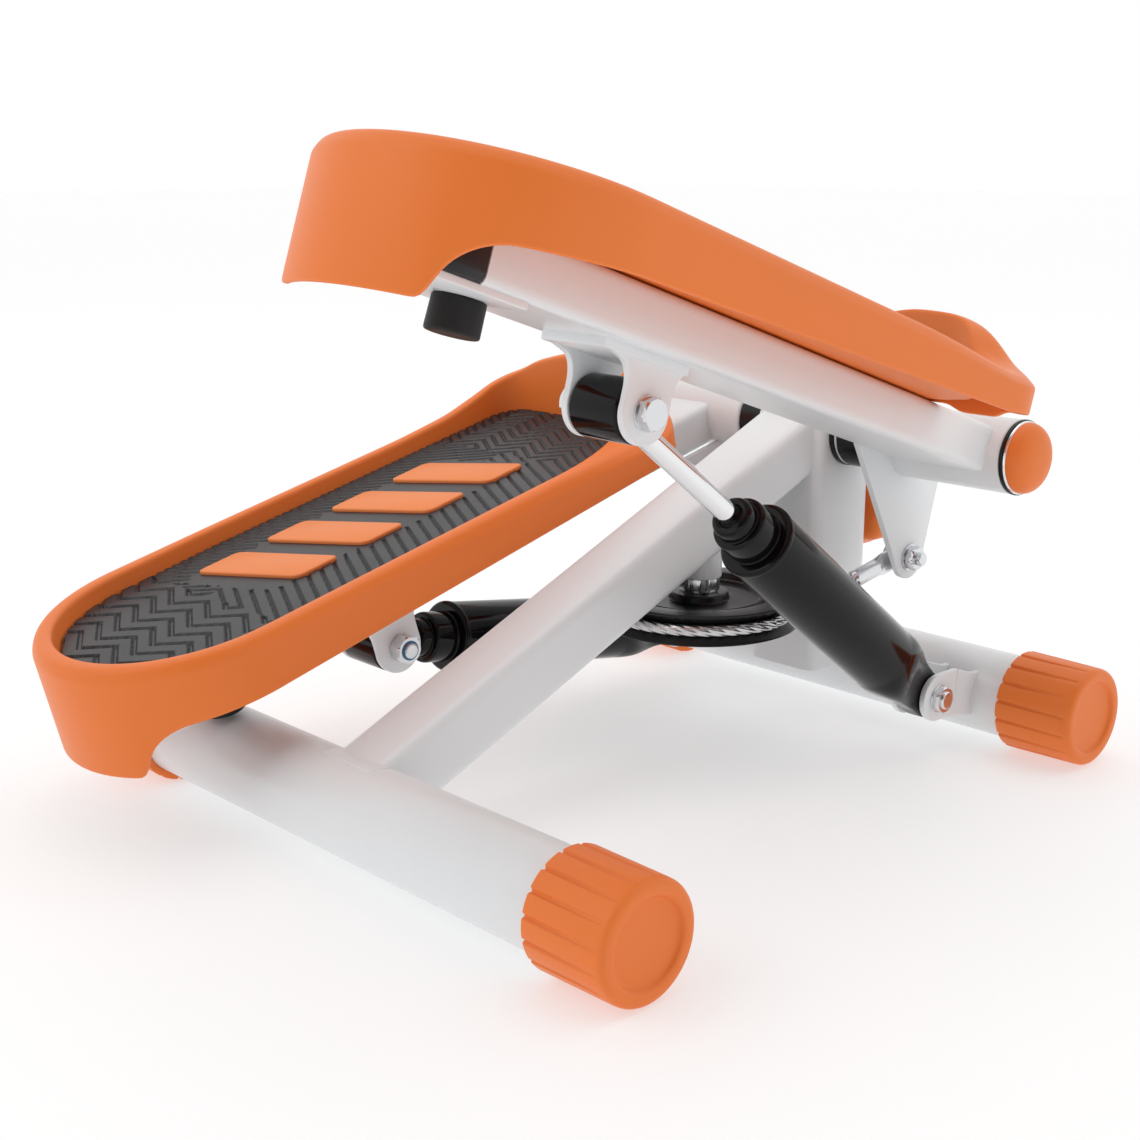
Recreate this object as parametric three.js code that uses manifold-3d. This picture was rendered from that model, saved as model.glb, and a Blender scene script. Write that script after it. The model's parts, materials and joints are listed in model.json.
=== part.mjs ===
// Mini stepper: two coupled pedals on a white tube frame, with hydraulic cylinders and a cable pulley.
// Millimetres, +Z up, +X to the user's right, +Y the way the user faces.
import * as THREE from "three";
import Module from "manifold-3d";
import { mergeVertices } from "three/addons/utils/BufferGeometryUtils.js";

const wasm = await Module();
wasm.setup();

// ---- driving dimensions ----
const GAP = 0.3; // clearance between touching pieces
const ORIGIN = { x: 0, y: 123.4 }; // middle of the footprint, from the rear tube's axis

const TUBE_R = 19; // base tubes
const TUBE_SPACING = 299; // rear tube to front tube
const REAR_HALF = 156; // middle to the outer face of a rear cap
const FRONT_HALF = 138;
const CAP_R = 22.2;
const CAP_LENGTH = 36.5;
const CAP_FLUTES = 16;
const TUBE_Z = CAP_R * Math.cos(Math.PI / (3 * CAP_FLUTES)); // the caps rest on the middle facet of a flute

const STRUT = { width: 30, height: 27.4, wall: 2, slope: 23.5, baseY: 8, baseZ: 42.5 };
const POST = { halfWidth: 19, rear: 250, front: 290, bottom: 24, top: 156, wall: 2.5 };

const PIVOT = { y: 271.5, z: 137.5 }; // pedal axle
const AXLE_R = 8;
const SPACER = { r: 15.2, from: 19.3, to: 34.7 };
const SLEEVE = { r: 16, from: 35, to: 108.7 };
const WASHER_WIDTH = 2.2;
const DOME = { r: 15.8, height: 8 };

const RAISED = 18.4; // the pedal at the top of its stroke, degrees above level
const LOWERED = -14.1; // the pedal at the bottom, its bumper on the rear tube

const ARM = { inner: 54, outer: 102, height: 20, end: 303.5, wall: 2 };
const PLUG_LENGTH = 30;
const BUMPER = { u: 292, r: 9.2, bottom: -24 };
const BUMPER_PLATE = { from: 281, to: 333, thickness: 1.8 };

const SHELL = { offset: 88.5, half: 63, heel: 289, toe: 54, wall: 2.5, rim: 8.8 };
const RIM_HEIGHT = 23; // crest of the rim above the arm's middle line
const FLOOR = { under: 10.4, top: 13 };
const MAT = { bottom: 13.3, top: 16, margin: 1.6 };

const BOLT = { u: 213, w: -30, r: 3.5 }; // upper end of the cylinder, in the pedal's frame
const CLEVIS = { middle: 78, halfGap: 12.3, plate: 3, flange: [197, 241], earR: 11.5 };
const BUSH = { r: 11.5, half: 12, bore: 8.4 };

const LOWER = { x: 78, y: 254, z: 29, eyeR: 10, half: 6, boltR: 4 }; // lower end of the cylinder
const BODY = { r: 15.5, from: 40, to: 146, bore: 23 };
const GLAND = { r: 11.5, to: 160, nose: 8.6, end: 166 };
const ROD_R = 4.25;

const PULLEY = { y: 192, z: 65.9, r: 44.6, half: 6.8, groove: 40.8, cable: 43 };
const CABLE_R = 2.5;
const CABLE_BOLT = { x: 48, u: -20, w: -50, r: 3 };
const CABLE_PLATE = { from: 50.7, to: 53.7 };
const KNOB = { z: 100, r: 25, from: 296, to: 320, stem: 5 };

const DEG = Math.PI / 180;

// ---- finishes ----
const finish = (color, roughness, metalness = 0) =>
  new THREE.MeshStandardMaterial({ color, roughness, metalness });
const WHITE_PAINT = finish(0xe9e9ea, 0.3);
const ORANGE = finish(0xe0763c, 0.45);
const BLACK_PLASTIC = finish(0x1d1d1f, 0.4);
const BLACK_GLOSS = finish(0x0d0d0e, 0.12);
const RUBBER = finish(0x2a2a2c, 0.75);
const MAT_RUBBER = finish(0x4a4a4d, 0.7);
const CHROME = finish(0xd8dadc, 0.12, 1);
const STEEL = finish(0xb9bcc0, 0.3, 1);

// ---- solids ----
// A geometry as a manifold-3d solid, turned the right way round if its faces point inwards.
function solid(geometry) {
  const bare = new THREE.BufferGeometry();
  const open = geometry.index ? geometry.toNonIndexed() : geometry;
  bare.setAttribute("position", open.getAttribute("position"));
  const merged = mergeVertices(bare, 1e-4);
  const mesh = { numProp: 3, vertProperties: merged.attributes.position.array };
  const made = new wasm.Manifold(new wasm.Mesh({ ...mesh, triVerts: new Uint32Array(merged.index.array) }));
  if (made.volume() > 0) return made;
  const turned = new Uint32Array(merged.index.array);
  for (let i = 0; i < turned.length; i += 3) [turned[i + 1], turned[i + 2]] = [turned[i + 2], turned[i + 1]];
  return new wasm.Manifold(new wasm.Mesh({ ...mesh, triVerts: turned }));
}

function geometryOf(made) {
  const mesh = made.getMesh();
  const geometry = new THREE.BufferGeometry();
  geometry.setAttribute("position", new THREE.BufferAttribute(mesh.vertProperties, 3));
  geometry.setIndex(new THREE.BufferAttribute(mesh.triVerts, 1));
  return geometry;
}

const join = (...parts) => parts.map(asSolid).reduce((sum, part) => sum.add(part));
const cut = (base, ...tools) => tools.map(asSolid).reduce((left, tool) => left.subtract(tool), asSolid(base));
const asSolid = (part) => (part.isBufferGeometry ? solid(part) : part);

const root = new THREE.Group();
root.position.set(-ORIGIN.x, -ORIGIN.y, 0);

function add(group, name, part, material) {
  const mesh = new THREE.Mesh(geometryOf(asSolid(part)), material);
  mesh.name = name;
  group.add(mesh);
  return mesh;
}

// A turned piece about the X axis. The profile is [x, radius] pairs that close on themselves or the axis.
function turnedX(profile, segments = 32) {
  const points = profile.map(([x, r]) => new THREE.Vector2(r, -x));
  return new THREE.LatheGeometry(points, segments).rotateZ(Math.PI / 2);
}

// A turned piece about the Z axis. The profile is [radius, z] pairs.
function turnedZ(profile, segments = 32) {
  const points = profile.map(([r, z]) => new THREE.Vector2(r, z));
  return new THREE.LatheGeometry(points, segments).rotateX(Math.PI / 2);
}

const barX = (r, from, to, segments = 32) =>
  turnedX([[from, 0], [from, r], [to, r], [to, 0]], segments);
const ringX = (r, bore, from, to, segments = 36) =>
  turnedX([[from, bore], [from, r], [to, r], [to, bore], [from, bore]], segments);
const barZ = (r, from, to, segments = 28) => turnedZ([[0, from], [r, from], [r, to], [0, to]], segments);

const box = (from, to) =>
  new THREE.BoxGeometry(to[0] - from[0], to[1] - from[1], to[2] - from[2]).translate(
    (from[0] + to[0]) / 2, (from[1] + to[1]) / 2, (from[2] + to[2]) / 2,
  );

// A rounded rectangle centred on (cx, cy).
function roundedRect(width, height, radius, cx = 0, cy = 0) {
  const shape = new THREE.Shape();
  const [w, h] = [width / 2 - radius, height / 2 - radius];
  shape.absarc(cx + w, cy + h, radius, 0, Math.PI / 2);
  shape.absarc(cx - w, cy + h, radius, Math.PI / 2, Math.PI);
  shape.absarc(cx - w, cy - h, radius, Math.PI, Math.PI * 1.5);
  shape.absarc(cx + w, cy - h, radius, Math.PI * 1.5, Math.PI * 2);
  return shape;
}

const extrude = (shape, depth, curveSegments = 4) =>
  new THREE.ExtrudeGeometry(shape, { depth, bevelEnabled: false, curveSegments });

// A hollow rectangular tube along +Z, open at both ends.
function boxTube(width, height, wall, radius, length) {
  const shape = roundedRect(width, height, radius);
  shape.holes.push(roundedRect(width - 2 * wall, height - 2 * wall, Math.max(radius - wall, 0.5)));
  return extrude(shape, length);
}

// A shape drawn in the Y-Z plane, extruded along X from one x to another.
const plateX = (shape, from, to, curveSegments = 10) =>
  extrude(shape, to - from, curveSegments)
    .applyMatrix4(new THREE.Matrix4().set(0, 0, 1, from, 1, 0, 0, 0, 0, 1, 0, 0, 0, 0, 0, 1));

// A hexagonal prism along X, as a bolt head or nut.
function hexX(acrossFlats, from, to) {
  const half = (to - from) / 2;
  return new THREE.CylinderGeometry(acrossFlats / Math.sqrt(3), acrossFlats / Math.sqrt(3), half * 2, 6)
    .rotateZ(Math.PI / 2)
    .translate(from + half, 0, 0);
}
// ---- base ----
function footCap() {
  // Wide flutes with narrow grooves between them, then a smooth rounded rim round a dished end.
  const outline = new THREE.Shape();
  const step = (2 * Math.PI) / CAP_FLUTES;
  const grooveHalf = 0.045;
  const grooveDepth = 1.3;
  for (let i = 0; i < CAP_FLUTES; i += 1) {
    const start = (i - 0.5) * step;
    for (const part of [grooveHalf, step / 3, (2 * step) / 3, step - grooveHalf]) {
      const at = [CAP_R * Math.cos(start + part), CAP_R * Math.sin(start + part)];
      if (i === 0 && part === grooveHalf) outline.moveTo(...at);
      else outline.lineTo(...at);
    }
    const deep = CAP_R - grooveDepth;
    outline.lineTo(deep * Math.cos(start + step), deep * Math.sin(start + step));
  }
  outline.closePath();
  const rimFrom = CAP_LENGTH - 7;
  const fluted = extrude(outline, rimFrom).rotateY(Math.PI / 2);
  const rim = turnedX([
    [rimFrom - 0.5, 0], [rimFrom - 0.5, CAP_R - 0.6], [rimFrom + 2.5, CAP_R - 0.2], [rimFrom + 5, CAP_R - 1.4],
    [CAP_LENGTH - 0.6, CAP_R - 3.2], [CAP_LENGTH, CAP_R - 4.6], [CAP_LENGTH - 0.5, CAP_R - 5.6],
    [CAP_LENGTH - 2.2, CAP_R - 6.4], [CAP_LENGTH - 2.2, 0],
  ], 32);
  return cut(join(fluted, rim), barX(TUBE_R + GAP, -1, CAP_LENGTH - 5, 36));
}

function addBase() {
  const places = [
    ["rear", 0, REAR_HALF],
    ["front", TUBE_SPACING, FRONT_HALF],
  ];
  for (const [name, y, half] of places) {
    const end = half - 5 - GAP;
    const tube = ringX(TUBE_R, TUBE_R - 2, -end, end).translate(0, y, TUBE_Z);
    add(root, `${name}_base_tube`, tube, WHITE_PAINT);
    for (const side of [1, -1]) {
      const cap = add(root, `${name}_foot_cap_${side > 0 ? "right" : "left"}`, footCap(), ORANGE);
      cap.position.set(side * (half - CAP_LENGTH), y, TUBE_Z);
      cap.rotation.z = side > 0 ? 0 : Math.PI;
    }
  }
}

const tubeClearance = (y) => barX(TUBE_R + GAP, -200, 200, 36).translate(0, y, TUBE_Z);

// The strut's own frame: x across, y down through it, z along it, from the rear tube towards the post.
function strutFrame() {
  const [sin, cos] = [Math.sin(STRUT.slope * DEG), Math.cos(STRUT.slope * DEG)];
  const across = new THREE.Vector3(1, 0, 0);
  const down = new THREE.Vector3(0, sin, -cos);
  const along = new THREE.Vector3(0, cos, sin);
  return new THREE.Matrix4().makeBasis(across, down, along).setPosition(0, STRUT.baseY, STRUT.baseZ);
}

const strutUnderside = (y) =>
  STRUT.baseZ - STRUT.height / Math.cos(STRUT.slope * DEG) + (y - STRUT.baseY) * Math.tan(STRUT.slope * DEG);

function addStrutAndPost() {
  const strut = boxTube(STRUT.width, STRUT.height, STRUT.wall, 4, 340)
    .translate(0, STRUT.height / 2, -30)
    .applyMatrix4(strutFrame());
  const beyond = box([-40, POST.rear - GAP, 0], [40, 400, 300]);
  const behind = box([-40, -60, 0], [40, -2, 80]);
  add(root, "strut", cut(strut, tubeClearance(0), beyond, behind), WHITE_PAINT);

  const saddle = ringX(TUBE_R + 1.9, TUBE_R + GAP, -18, 18).translate(0, 0, TUBE_Z);
  const keep = box([-30, -1.5, TUBE_Z + 8], [30, 6.5, TUBE_Z + 40]);
  const strutSpace = boxTubeSolid().applyMatrix4(strutFrame());
  add(root, "strut_saddle", cut(asSolid(saddle).intersect(asSolid(keep)), strutSpace), WHITE_PAINT);

  const depth = POST.front - POST.rear;
  const post = boxTube(POST.halfWidth * 2, depth, POST.wall, 5, POST.top - POST.bottom)
    .translate(0, (POST.front + POST.rear) / 2, POST.bottom);
  const cover = extrude(roundedRect(POST.halfWidth * 2 - 4, depth - 4, 4), 2.5)
    .translate(0, (POST.front + POST.rear) / 2, POST.top - 2.5);
  const axleHole = barX(AXLE_R + GAP, -40, 40).translate(0, PIVOT.y, PIVOT.z);
  const stemHole = barZ(KNOB.stem + GAP, 0, 40).rotateX(Math.PI / 2).translate(0, POST.front + 20, KNOB.z);
  const pieces = [tubeClearance(TUBE_SPACING), axleHole, stemHole];
  add(root, "upright_post", cut(join(post, cover), ...pieces), WHITE_PAINT);
}

// The strut's outer shape with clearance, for cutting its neighbours.
const boxTubeSolid = () =>
  extrude(roundedRect(STRUT.width + 2 * GAP, STRUT.height + 2 * GAP, 4), 340).translate(0, STRUT.height / 2, -30);

function addPivot() {
  const end = SLEEVE.to + GAP + WASHER_WIDTH;
  add(root, "pivot_axle", barX(AXLE_R, -end, end), STEEL).position.set(0, PIVOT.y, PIVOT.z);
  for (const side of [1, -1]) {
    const [from, to] = side > 0 ? [SPACER.from, SPACER.to] : [-SPACER.to, -SPACER.from];
    const spacer = ringX(SPACER.r, AXLE_R + GAP, from, to);
    add(root, `axle_spacer_${sideName(side)}`, spacer, BLACK_PLASTIC).position.set(0, PIVOT.y, PIVOT.z);
  }
}

const sideName = (side) => (side > 0 ? "right" : "left");

// Two ears welded to the front tube, and the bolt that the cylinder's lower eye turns on.
function addLowerMounts() {
  const gap = LOWER.half + GAP;
  const outline = new THREE.Shape();
  outline.absarc(LOWER.y, LOWER.z, LOWER.eyeR + 0.5, Math.PI * 0.45, Math.PI * 1.55);
  outline.lineTo(TUBE_SPACING, TUBE_Z - 12);
  outline.lineTo(TUBE_SPACING, TUBE_Z + 15);
  outline.closePath();
  for (const side of [1, -1]) {
    const middle = side * LOWER.x;
    const ears = [1, -1].map((edge) => {
      const [near, far] = [middle + edge * gap, middle + edge * (gap + 3)];
      return plateX(outline, Math.min(near, far), Math.max(near, far));
    });
    const web = box([middle - gap - 1, 274, 14], [middle + gap + 1, TUBE_SPACING, 34]);
    const hole = barX(LOWER.boltR + GAP, -200, 200).translate(0, LOWER.y, LOWER.z);
    const bracket = cut(join(...ears, web), tubeClearance(TUBE_SPACING), hole);
    add(root, `cylinder_bracket_${sideName(side)}`, bracket, WHITE_PAINT);

    const reach = gap + 3 + GAP;
    const bolt = join(
      barX(LOWER.boltR, middle - reach - 3, middle + reach + 3, 24),
      hexX(11, middle + reach, middle + reach + 3.5),
      hexX(11, middle - reach - 4.5, middle - reach),
    );
    add(root, `cylinder_bolt_${sideName(side)}`, bolt, STEEL).position.set(0, LOWER.y, LOWER.z);
  }
}

function addKnob() {
  const grips = 8;
  const outline = new THREE.Shape();
  for (let i = 0; i < grips * 6; i += 1) {
    const angle = (i / (grips * 6)) * 2 * Math.PI;
    const r = KNOB.r - 1.6 + 1.6 * Math.cos(grips * angle);
    if (i === 0) outline.moveTo(r, 0);
    else outline.lineTo(r * Math.cos(angle), r * Math.sin(angle));
  }
  outline.closePath();
  const grip = extrude(outline, KNOB.to - KNOB.from);
  const stem = barZ(KNOB.stem, -16, 1);
  const knob = asSolid(join(grip, stem).rotate([-90, 0, 0]));
  add(root, "adjusting_knob", knob, ORANGE).position.set(0, KNOB.from, KNOB.z);
}

// ---- pulley and cable ----
function addPulley() {
  const wheel = turnedZ([
    [5.3, -PULLEY.half - 2], [13, -PULLEY.half - 2], [13, -PULLEY.half + 3], [33, -PULLEY.half + 3],
    [34, -PULLEY.half], [PULLEY.r, -PULLEY.half], [PULLEY.r, -5.9], [PULLEY.groove + 0.6, -2.6],
    [PULLEY.groove - 0.8, 0], [PULLEY.groove + 0.6, 2.6], [PULLEY.r, 5.9], [PULLEY.r, PULLEY.half],
    [34, PULLEY.half], [34, PULLEY.half - 3], [13, PULLEY.half - 3], [13, PULLEY.half], [5.3, PULLEY.half],
    [5.3, -PULLEY.half - 2],
  ], 40);
  add(root, "pulley_wheel", wheel, BLACK_PLASTIC).position.set(0, PULLEY.y, PULLEY.z);

  const hubTop = PULLEY.z + PULLEY.half;
  const nutTop = hubTop + GAP + 6;
  const hex = (acrossFlats, from, to) =>
    hexX(acrossFlats, from, to).rotateY(-Math.PI / 2).translate(0, PULLEY.y, 0);
  const headTop = PULLEY.z - PULLEY.half - 2 - GAP;
  const bolt = join(
    barZ(5, headTop - 1, nutTop + 6).translate(0, PULLEY.y, 0),
    hex(14, headTop - 5, headTop),
  );
  add(root, "pulley_bolt", bolt, STEEL);
  const nut = cut(hex(15, hubTop + GAP, nutTop), barZ(5 + GAP, 0, 200).translate(0, PULLEY.y, 0));
  add(root, "pulley_nut", nut, STEEL);

  const boss = cut(
    barZ(10, nutTop + GAP, 130).translate(0, PULLEY.y, 0),
    boxTubeSolid().applyMatrix4(strutFrame()),
    box([-20, PULLEY.y - 20, strutUnderside(PULLEY.y) + 8], [20, PULLEY.y + 20, 200]),
    barZ(5 + GAP, 0, nutTop + 6 + GAP).translate(0, PULLEY.y, 0),
  );
  add(root, "pulley_boss", boss, WHITE_PAINT);
}

// Where a point of the pedal's own frame is, with the pedal turned to the given angle.
function pedalPoint({ u, w }, degrees) {
  const [sin, cos] = [Math.sin(degrees * DEG), Math.cos(degrees * DEG)];
  return { y: PIVOT.y - u * cos + w * sin, z: PIVOT.z + u * sin + w * cos };
}

// Distance between a cylinder's two bolts.
function boltDistance(degrees) {
  const { y, z } = pedalPoint(BOLT, degrees);
  return Math.hypot(y - LOWER.y, z - LOWER.z);
}

function addCable() {
  // The part in the groove: half a turn round the back of the wheel.
  const round = new THREE.Shape().absarc(0, 0, CABLE_R, 0, 2 * Math.PI);
  const points = [];
  for (let i = 0; i <= 24; i += 1) {
    const angle = Math.PI + (i / 24) * Math.PI;
    points.push(new THREE.Vector3(PULLEY.cable * Math.cos(angle), PULLEY.cable * Math.sin(angle), 0));
  }
  const arc = new THREE.CatmullRomCurve3(points);
  const wrap = new THREE.ExtrudeGeometry(round, { steps: 24, extrudePath: arc, curveSegments: 5 });
  add(root, "cable_on_pulley", wrap, STEEL).position.set(0, PULLEY.y, PULLEY.z);

  for (const side of [1, -1]) {
    const { y, z } = pedalPoint(CABLE_BOLT, side > 0 ? RAISED : LOWERED);
    const end = new THREE.Vector3(side * CABLE_BOLT.x, y, z);
    const start = new THREE.Vector3(side * PULLEY.cable, PULLEY.y + 3.5 * GAP, PULLEY.z);
    const length = start.distanceTo(end);
    const along = turnedZ([
      [0, 0], [CABLE_R, 0], [CABLE_R, length - 36], [3.9, length - 35], [3.9, length - 19],
      [2.1, length - 13], [2.1, length - 4], [0, length - 4],
    ], 16);
    const turn = new THREE.Quaternion().setFromUnitVectors(
      new THREE.Vector3(0, 0, 1), end.clone().sub(start).normalize());
    along.applyQuaternion(turn).translate(start.x, start.y, start.z);
    const eye = barX(7, end.x - 2.2, end.x + 2.2, 28).translate(0, end.y, end.z);
    const hole = barX(CABLE_BOLT.r + GAP, -100, 100, 20).translate(0, end.y, end.z);
    add(root, `cable_run_${sideName(side)}`, cut(join(along, eye), hole), STEEL);
  }
}

// ---- pedals: each one is built about its axle, with y forward and z up square to the arm ----
// u is the distance from the axle towards the heel, so y = -u.
function addArm(pedal, side) {
  const middle = (side * (ARM.inner + ARM.outer)) / 2;
  const arm = boxTube(ARM.outer - ARM.inner, ARM.height, ARM.wall, 3.5, ARM.end)
    .rotateX(Math.PI / 2)
    .translate(middle, 0, 0);
  const sleeveSpace = barX(SLEEVE.r + GAP, -140, 140);
  add(pedal, `pedal_arm_${sideName(side)}`, cut(arm, sleeveSpace), WHITE_PAINT);

  const [from, to] = side > 0 ? [SLEEVE.from, SLEEVE.to] : [-SLEEVE.to, -SLEEVE.from];
  add(pedal, `pivot_sleeve_${sideName(side)}`, ringX(SLEEVE.r, AXLE_R + GAP, from, to), WHITE_PAINT);

  const washerFrom = side * (SLEEVE.to + GAP);
  const washerTo = washerFrom + side * WASHER_WIDTH;
  const washer = ringX(SLEEVE.r + 0.3, AXLE_R + GAP, Math.min(washerFrom, washerTo), Math.max(washerFrom, washerTo));
  add(pedal, `end_washer_${sideName(side)}`, washer, CHROME);

  const base = SLEEVE.to + 2 * GAP + WASHER_WIDTH;
  const profile = [[base, 0], [base, DOME.r - 0.6], [base + 0.6, DOME.r]];
  for (let i = 1; i <= 6; i += 1) {
    const angle = (i / 6) * (Math.PI / 2);
    profile.push([base + 0.6 + (DOME.height - 0.6) * Math.sin(angle), DOME.r * Math.cos(angle)]);
  }
  const dome = turnedX(profile, 28);
  if (side < 0) dome.rotateZ(Math.PI);
  add(pedal, `axle_cap_${sideName(side)}`, dome, ORANGE);

  // The plug has a lip over the tube's end and a rounded far end.
  const plug = extrude(roundedRect(ARM.outer - ARM.inner, ARM.height, 3.5), PLUG_LENGTH - 3);
  const cover = new THREE.ExtrudeGeometry(roundedRect(ARM.outer - ARM.inner - 5, ARM.height - 5, 2), {
    depth: 1, bevelThickness: 2, bevelSize: 2.4, bevelSegments: 3, curveSegments: 4,
  }).translate(0, 0, PLUG_LENGTH - 3.5);
  const whole = asSolid(join(plug, cover)).rotate([90, 0, 0]).translate([middle, -(ARM.end + GAP), 0]);
  add(pedal, `arm_end_plug_${sideName(side)}`, whole, BLACK_PLASTIC);
}

function addBumper(pedal, side) {
  const middle = (side * (ARM.inner + ARM.outer)) / 2;
  const plateTop = -ARM.height / 2 - GAP;
  const outline = roundedRect(ARM.outer - ARM.inner - 4, BUMPER_PLATE.to - BUMPER_PLATE.from, 4);
  const plate = extrude(outline, BUMPER_PLATE.thickness)
    .translate(middle, -(BUMPER_PLATE.from + BUMPER_PLATE.to) / 2, plateTop - BUMPER_PLATE.thickness);
  add(pedal, `bumper_plate_${sideName(side)}`, plate, WHITE_PAINT);

  const top = plateTop - BUMPER_PLATE.thickness - GAP;
  const r = BUMPER.r;
  const bumper = turnedZ([
    [0, BUMPER.bottom], [r - 1.2, BUMPER.bottom], [r - 0.3, BUMPER.bottom + 0.5], [r, BUMPER.bottom + 1.4],
    [r, top - 1], [r - 0.8, top], [0, top],
  ], 36).translate(middle, -BUMPER.u, 0);
  add(pedal, `bumper_${sideName(side)}`, bumper, RUBBER);
}

function addClevis(pedal, side) {
  const top = -ARM.height / 2 - GAP;
  const { halfGap, plate, earR, flange } = CLEVIS;
  const middle = side * CLEVIS.middle;
  const [near, far] = [-flange[0], -flange[1]]; // the flange's ends, as y
  const ear = new THREE.Shape();
  const under = top - plate;
  ear.moveTo(near - 2, under + 1);
  ear.lineTo(near - 2, under);
  ear.bezierCurveTo(near - 9, under - 1, near - 10.5, under - 5, near - 9.5, BOLT.w + 6);
  ear.absarc(-BOLT.u, BOLT.w, earR, 0.4, Math.PI - 0.1, true);
  ear.bezierCurveTo(far + 17, under - 9, far + 17, under - 1, far + 6, under);
  ear.lineTo(far + 6, under + 1);
  ear.closePath();
  const ears = [1, -1].map((edge) => {
    const [a, b] = [middle + edge * halfGap, middle + edge * (halfGap + plate)];
    return plateX(ear, Math.min(a, b), Math.max(a, b));
  });
  const flangePlate = box([middle - 15.3, far, under], [middle + 15.3, near, top]);
  const hole = barX(BOLT.r + GAP, -140, 140, 24).translate(0, -BOLT.u, BOLT.w);
  add(pedal, `clevis_${sideName(side)}`, cut(join(flangePlate, ...ears), hole), WHITE_PAINT);

  const outer = side * (halfGap + plate + GAP);
  const span = (a, b) => [Math.min(a, b), Math.max(a, b)];
  const shaft = barX(BOLT.r, ...span(middle - outer - side * 7, middle + outer + side), 24);
  const head = hexX(11, ...span(middle + outer, middle + outer + side * 4.5));
  const bolt = add(pedal, `clevis_bolt_${sideName(side)}`, join(shaft, head), STEEL);
  bolt.position.set(0, -BOLT.u, BOLT.w);

  const nutSpan = span(middle - outer, middle - outer - side * 6);
  const collarSpan = span(middle - outer - side * 5, middle - outer - side * 8);
  const nut = cut(join(hexX(11, ...nutSpan), barX(4.9, ...collarSpan, 24)), barX(BOLT.r + GAP, -140, 140, 24));
  add(pedal, `clevis_nut_${sideName(side)}`, nut, STEEL).position.set(0, -BOLT.u, BOLT.w);
}

function addCableBracket(pedal, side) {
  const { u, w, r } = CABLE_BOLT;
  const [from, to] = side > 0 ? [CABLE_PLATE.from, CABLE_PLATE.to] : [-CABLE_PLATE.to, -CABLE_PLATE.from];
  const outline = new THREE.Shape();
  outline.moveTo(28, -9);
  outline.lineTo(-38, -9);
  outline.absarc(-u, w, 10, Math.PI * 1.25, Math.PI * 2.06);
  outline.closePath();
  const hole = barX(r + GAP, -140, 140, 20).translate(0, -u, w);
  const sleeveSpace = barX(SLEEVE.r + GAP, -140, 140);
  add(pedal, `cable_bracket_${sideName(side)}`, cut(plateX(outline, from, to), sleeveSpace, hole), WHITE_PAINT);

  const span = (a, b) => [Math.min(a, b), Math.max(a, b)];
  const plateOuter = side * (CABLE_PLATE.to + GAP);
  const eyeInner = side * (CABLE_BOLT.x - 2.2 - GAP);
  const bolt = join(
    barX(r, ...span(eyeInner - side, plateOuter + side * 7.5), 20),
    hexX(9, ...span(eyeInner, eyeInner - side * 3.5)),
    hexX(10, ...span(plateOuter, plateOuter + side * 4.5)),
  );
  add(pedal, `cable_bolt_${sideName(side)}`, bolt, STEEL).position.set(0, -u, w);
}

// Stations round the pedal's outline, from the near toe corner back round the heel to the toe again.
// Each gives the outer point, the opening's edge, the crest's height there and the skirt's lower edge.
function shellStations() {
  const { half, heel, toe, rim } = SHELL;
  const crest = (stops, at) => {
    const i = Math.max(1, stops.findIndex(([x]) => x >= at));
    const [[x0, h0], [x1, h1]] = [stops[i - 1], stops[i]];
    const t = (at - x0) / (x1 - x0);
    return h0 + (h1 - h0) * t * t * (3 - 2 * t);
  };
  const skirt = (u) => 6.5 - ((u - 75) * 6.6) / 214;
  const stations = [];
  const put = (outer, inner, height, lower) => stations.push({ outer, inner, height, lower });

  for (let i = 0; i < 9; i += 1) {
    const u = 78 + ((heel - 78) * i) / 9;
    const pull = Math.max(0, (140 - u) / 62);
    put([half, u], [half - rim - 13 * pull * pull, u + 8 * pull], RIM_HEIGHT - 1.5 * pull, skirt(u));
  }
  const arc = 28;
  for (let i = 0; i <= arc; i += 1) {
    const angle = (i / arc) * Math.PI;
    const [cos, sin] = [Math.cos(angle), Math.sin(angle)];
    const off = Math.abs(angle / DEG - 90); // 90 at the sides, 0 at the very back
    const drop = off < 31 ? 1 : off > 55 ? 0 : ((55 - off) / 24) ** 3;
    const lower = skirt(heel) - (90 - off) * 0.07;
    put([half * cos, heel + half * sin], [(half - rim) * cos, heel + (half - rim) * sin], RIM_HEIGHT,
      lower + (-22.7 - lower) * drop);
  }
  const rise = [[60, 33], [76, 28], [102, 24], [132, 23], [400, 23]];
  for (let i = 1; i <= 9; i += 1) {
    const u = heel - ((heel - 72) * i) / 9;
    put([-half, u], [-half + rim - 1.5, Math.max(u, 76)], crest(rise, u), skirt(u));
  }
  const corner = 18;
  for (const degrees of [22, 45, 68]) {
    const [cos, sin] = [Math.cos(degrees * DEG), Math.sin(degrees * DEG)];
    put([-half + corner - corner * cos, toe + corner - corner * sin],
      [-half + 20 - 13 * cos, toe + 22 - 14.5 * sin], 33 + degrees / 30, skirt(toe) + degrees / 28);
  }
  const brow = [[-45, 35.5], [-30, 42], [-8, 47], [11, 46.4], [26, 43.5], [34, 39.5], [45, 29], [64, 22]];
  for (let i = 0; i <= 8; i += 1) {
    const x = -45 + (86 * i) / 8;
    const late = Math.max(0, (x - 5) / 36);
    put([x, toe], [x * (1 - 0.28 * late), toe + 7 + 9 * late * late], crest(brow, x), FLOOR.under);
  }
  for (const degrees of [25, 50, 75]) {
    const [cos, sin] = [Math.cos(degrees * DEG), Math.sin(degrees * DEG)];
    put([half - 22 + 22 * sin, toe + 24 - 24 * cos], [29.5 + 12 * sin, toe + 31 - 16 * cos + degrees / 40],
      crest(brow, half - 22 + 22 * sin), skirt(toe) + (90 - degrees) / 28);
  }
  return stations;
}

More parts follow.
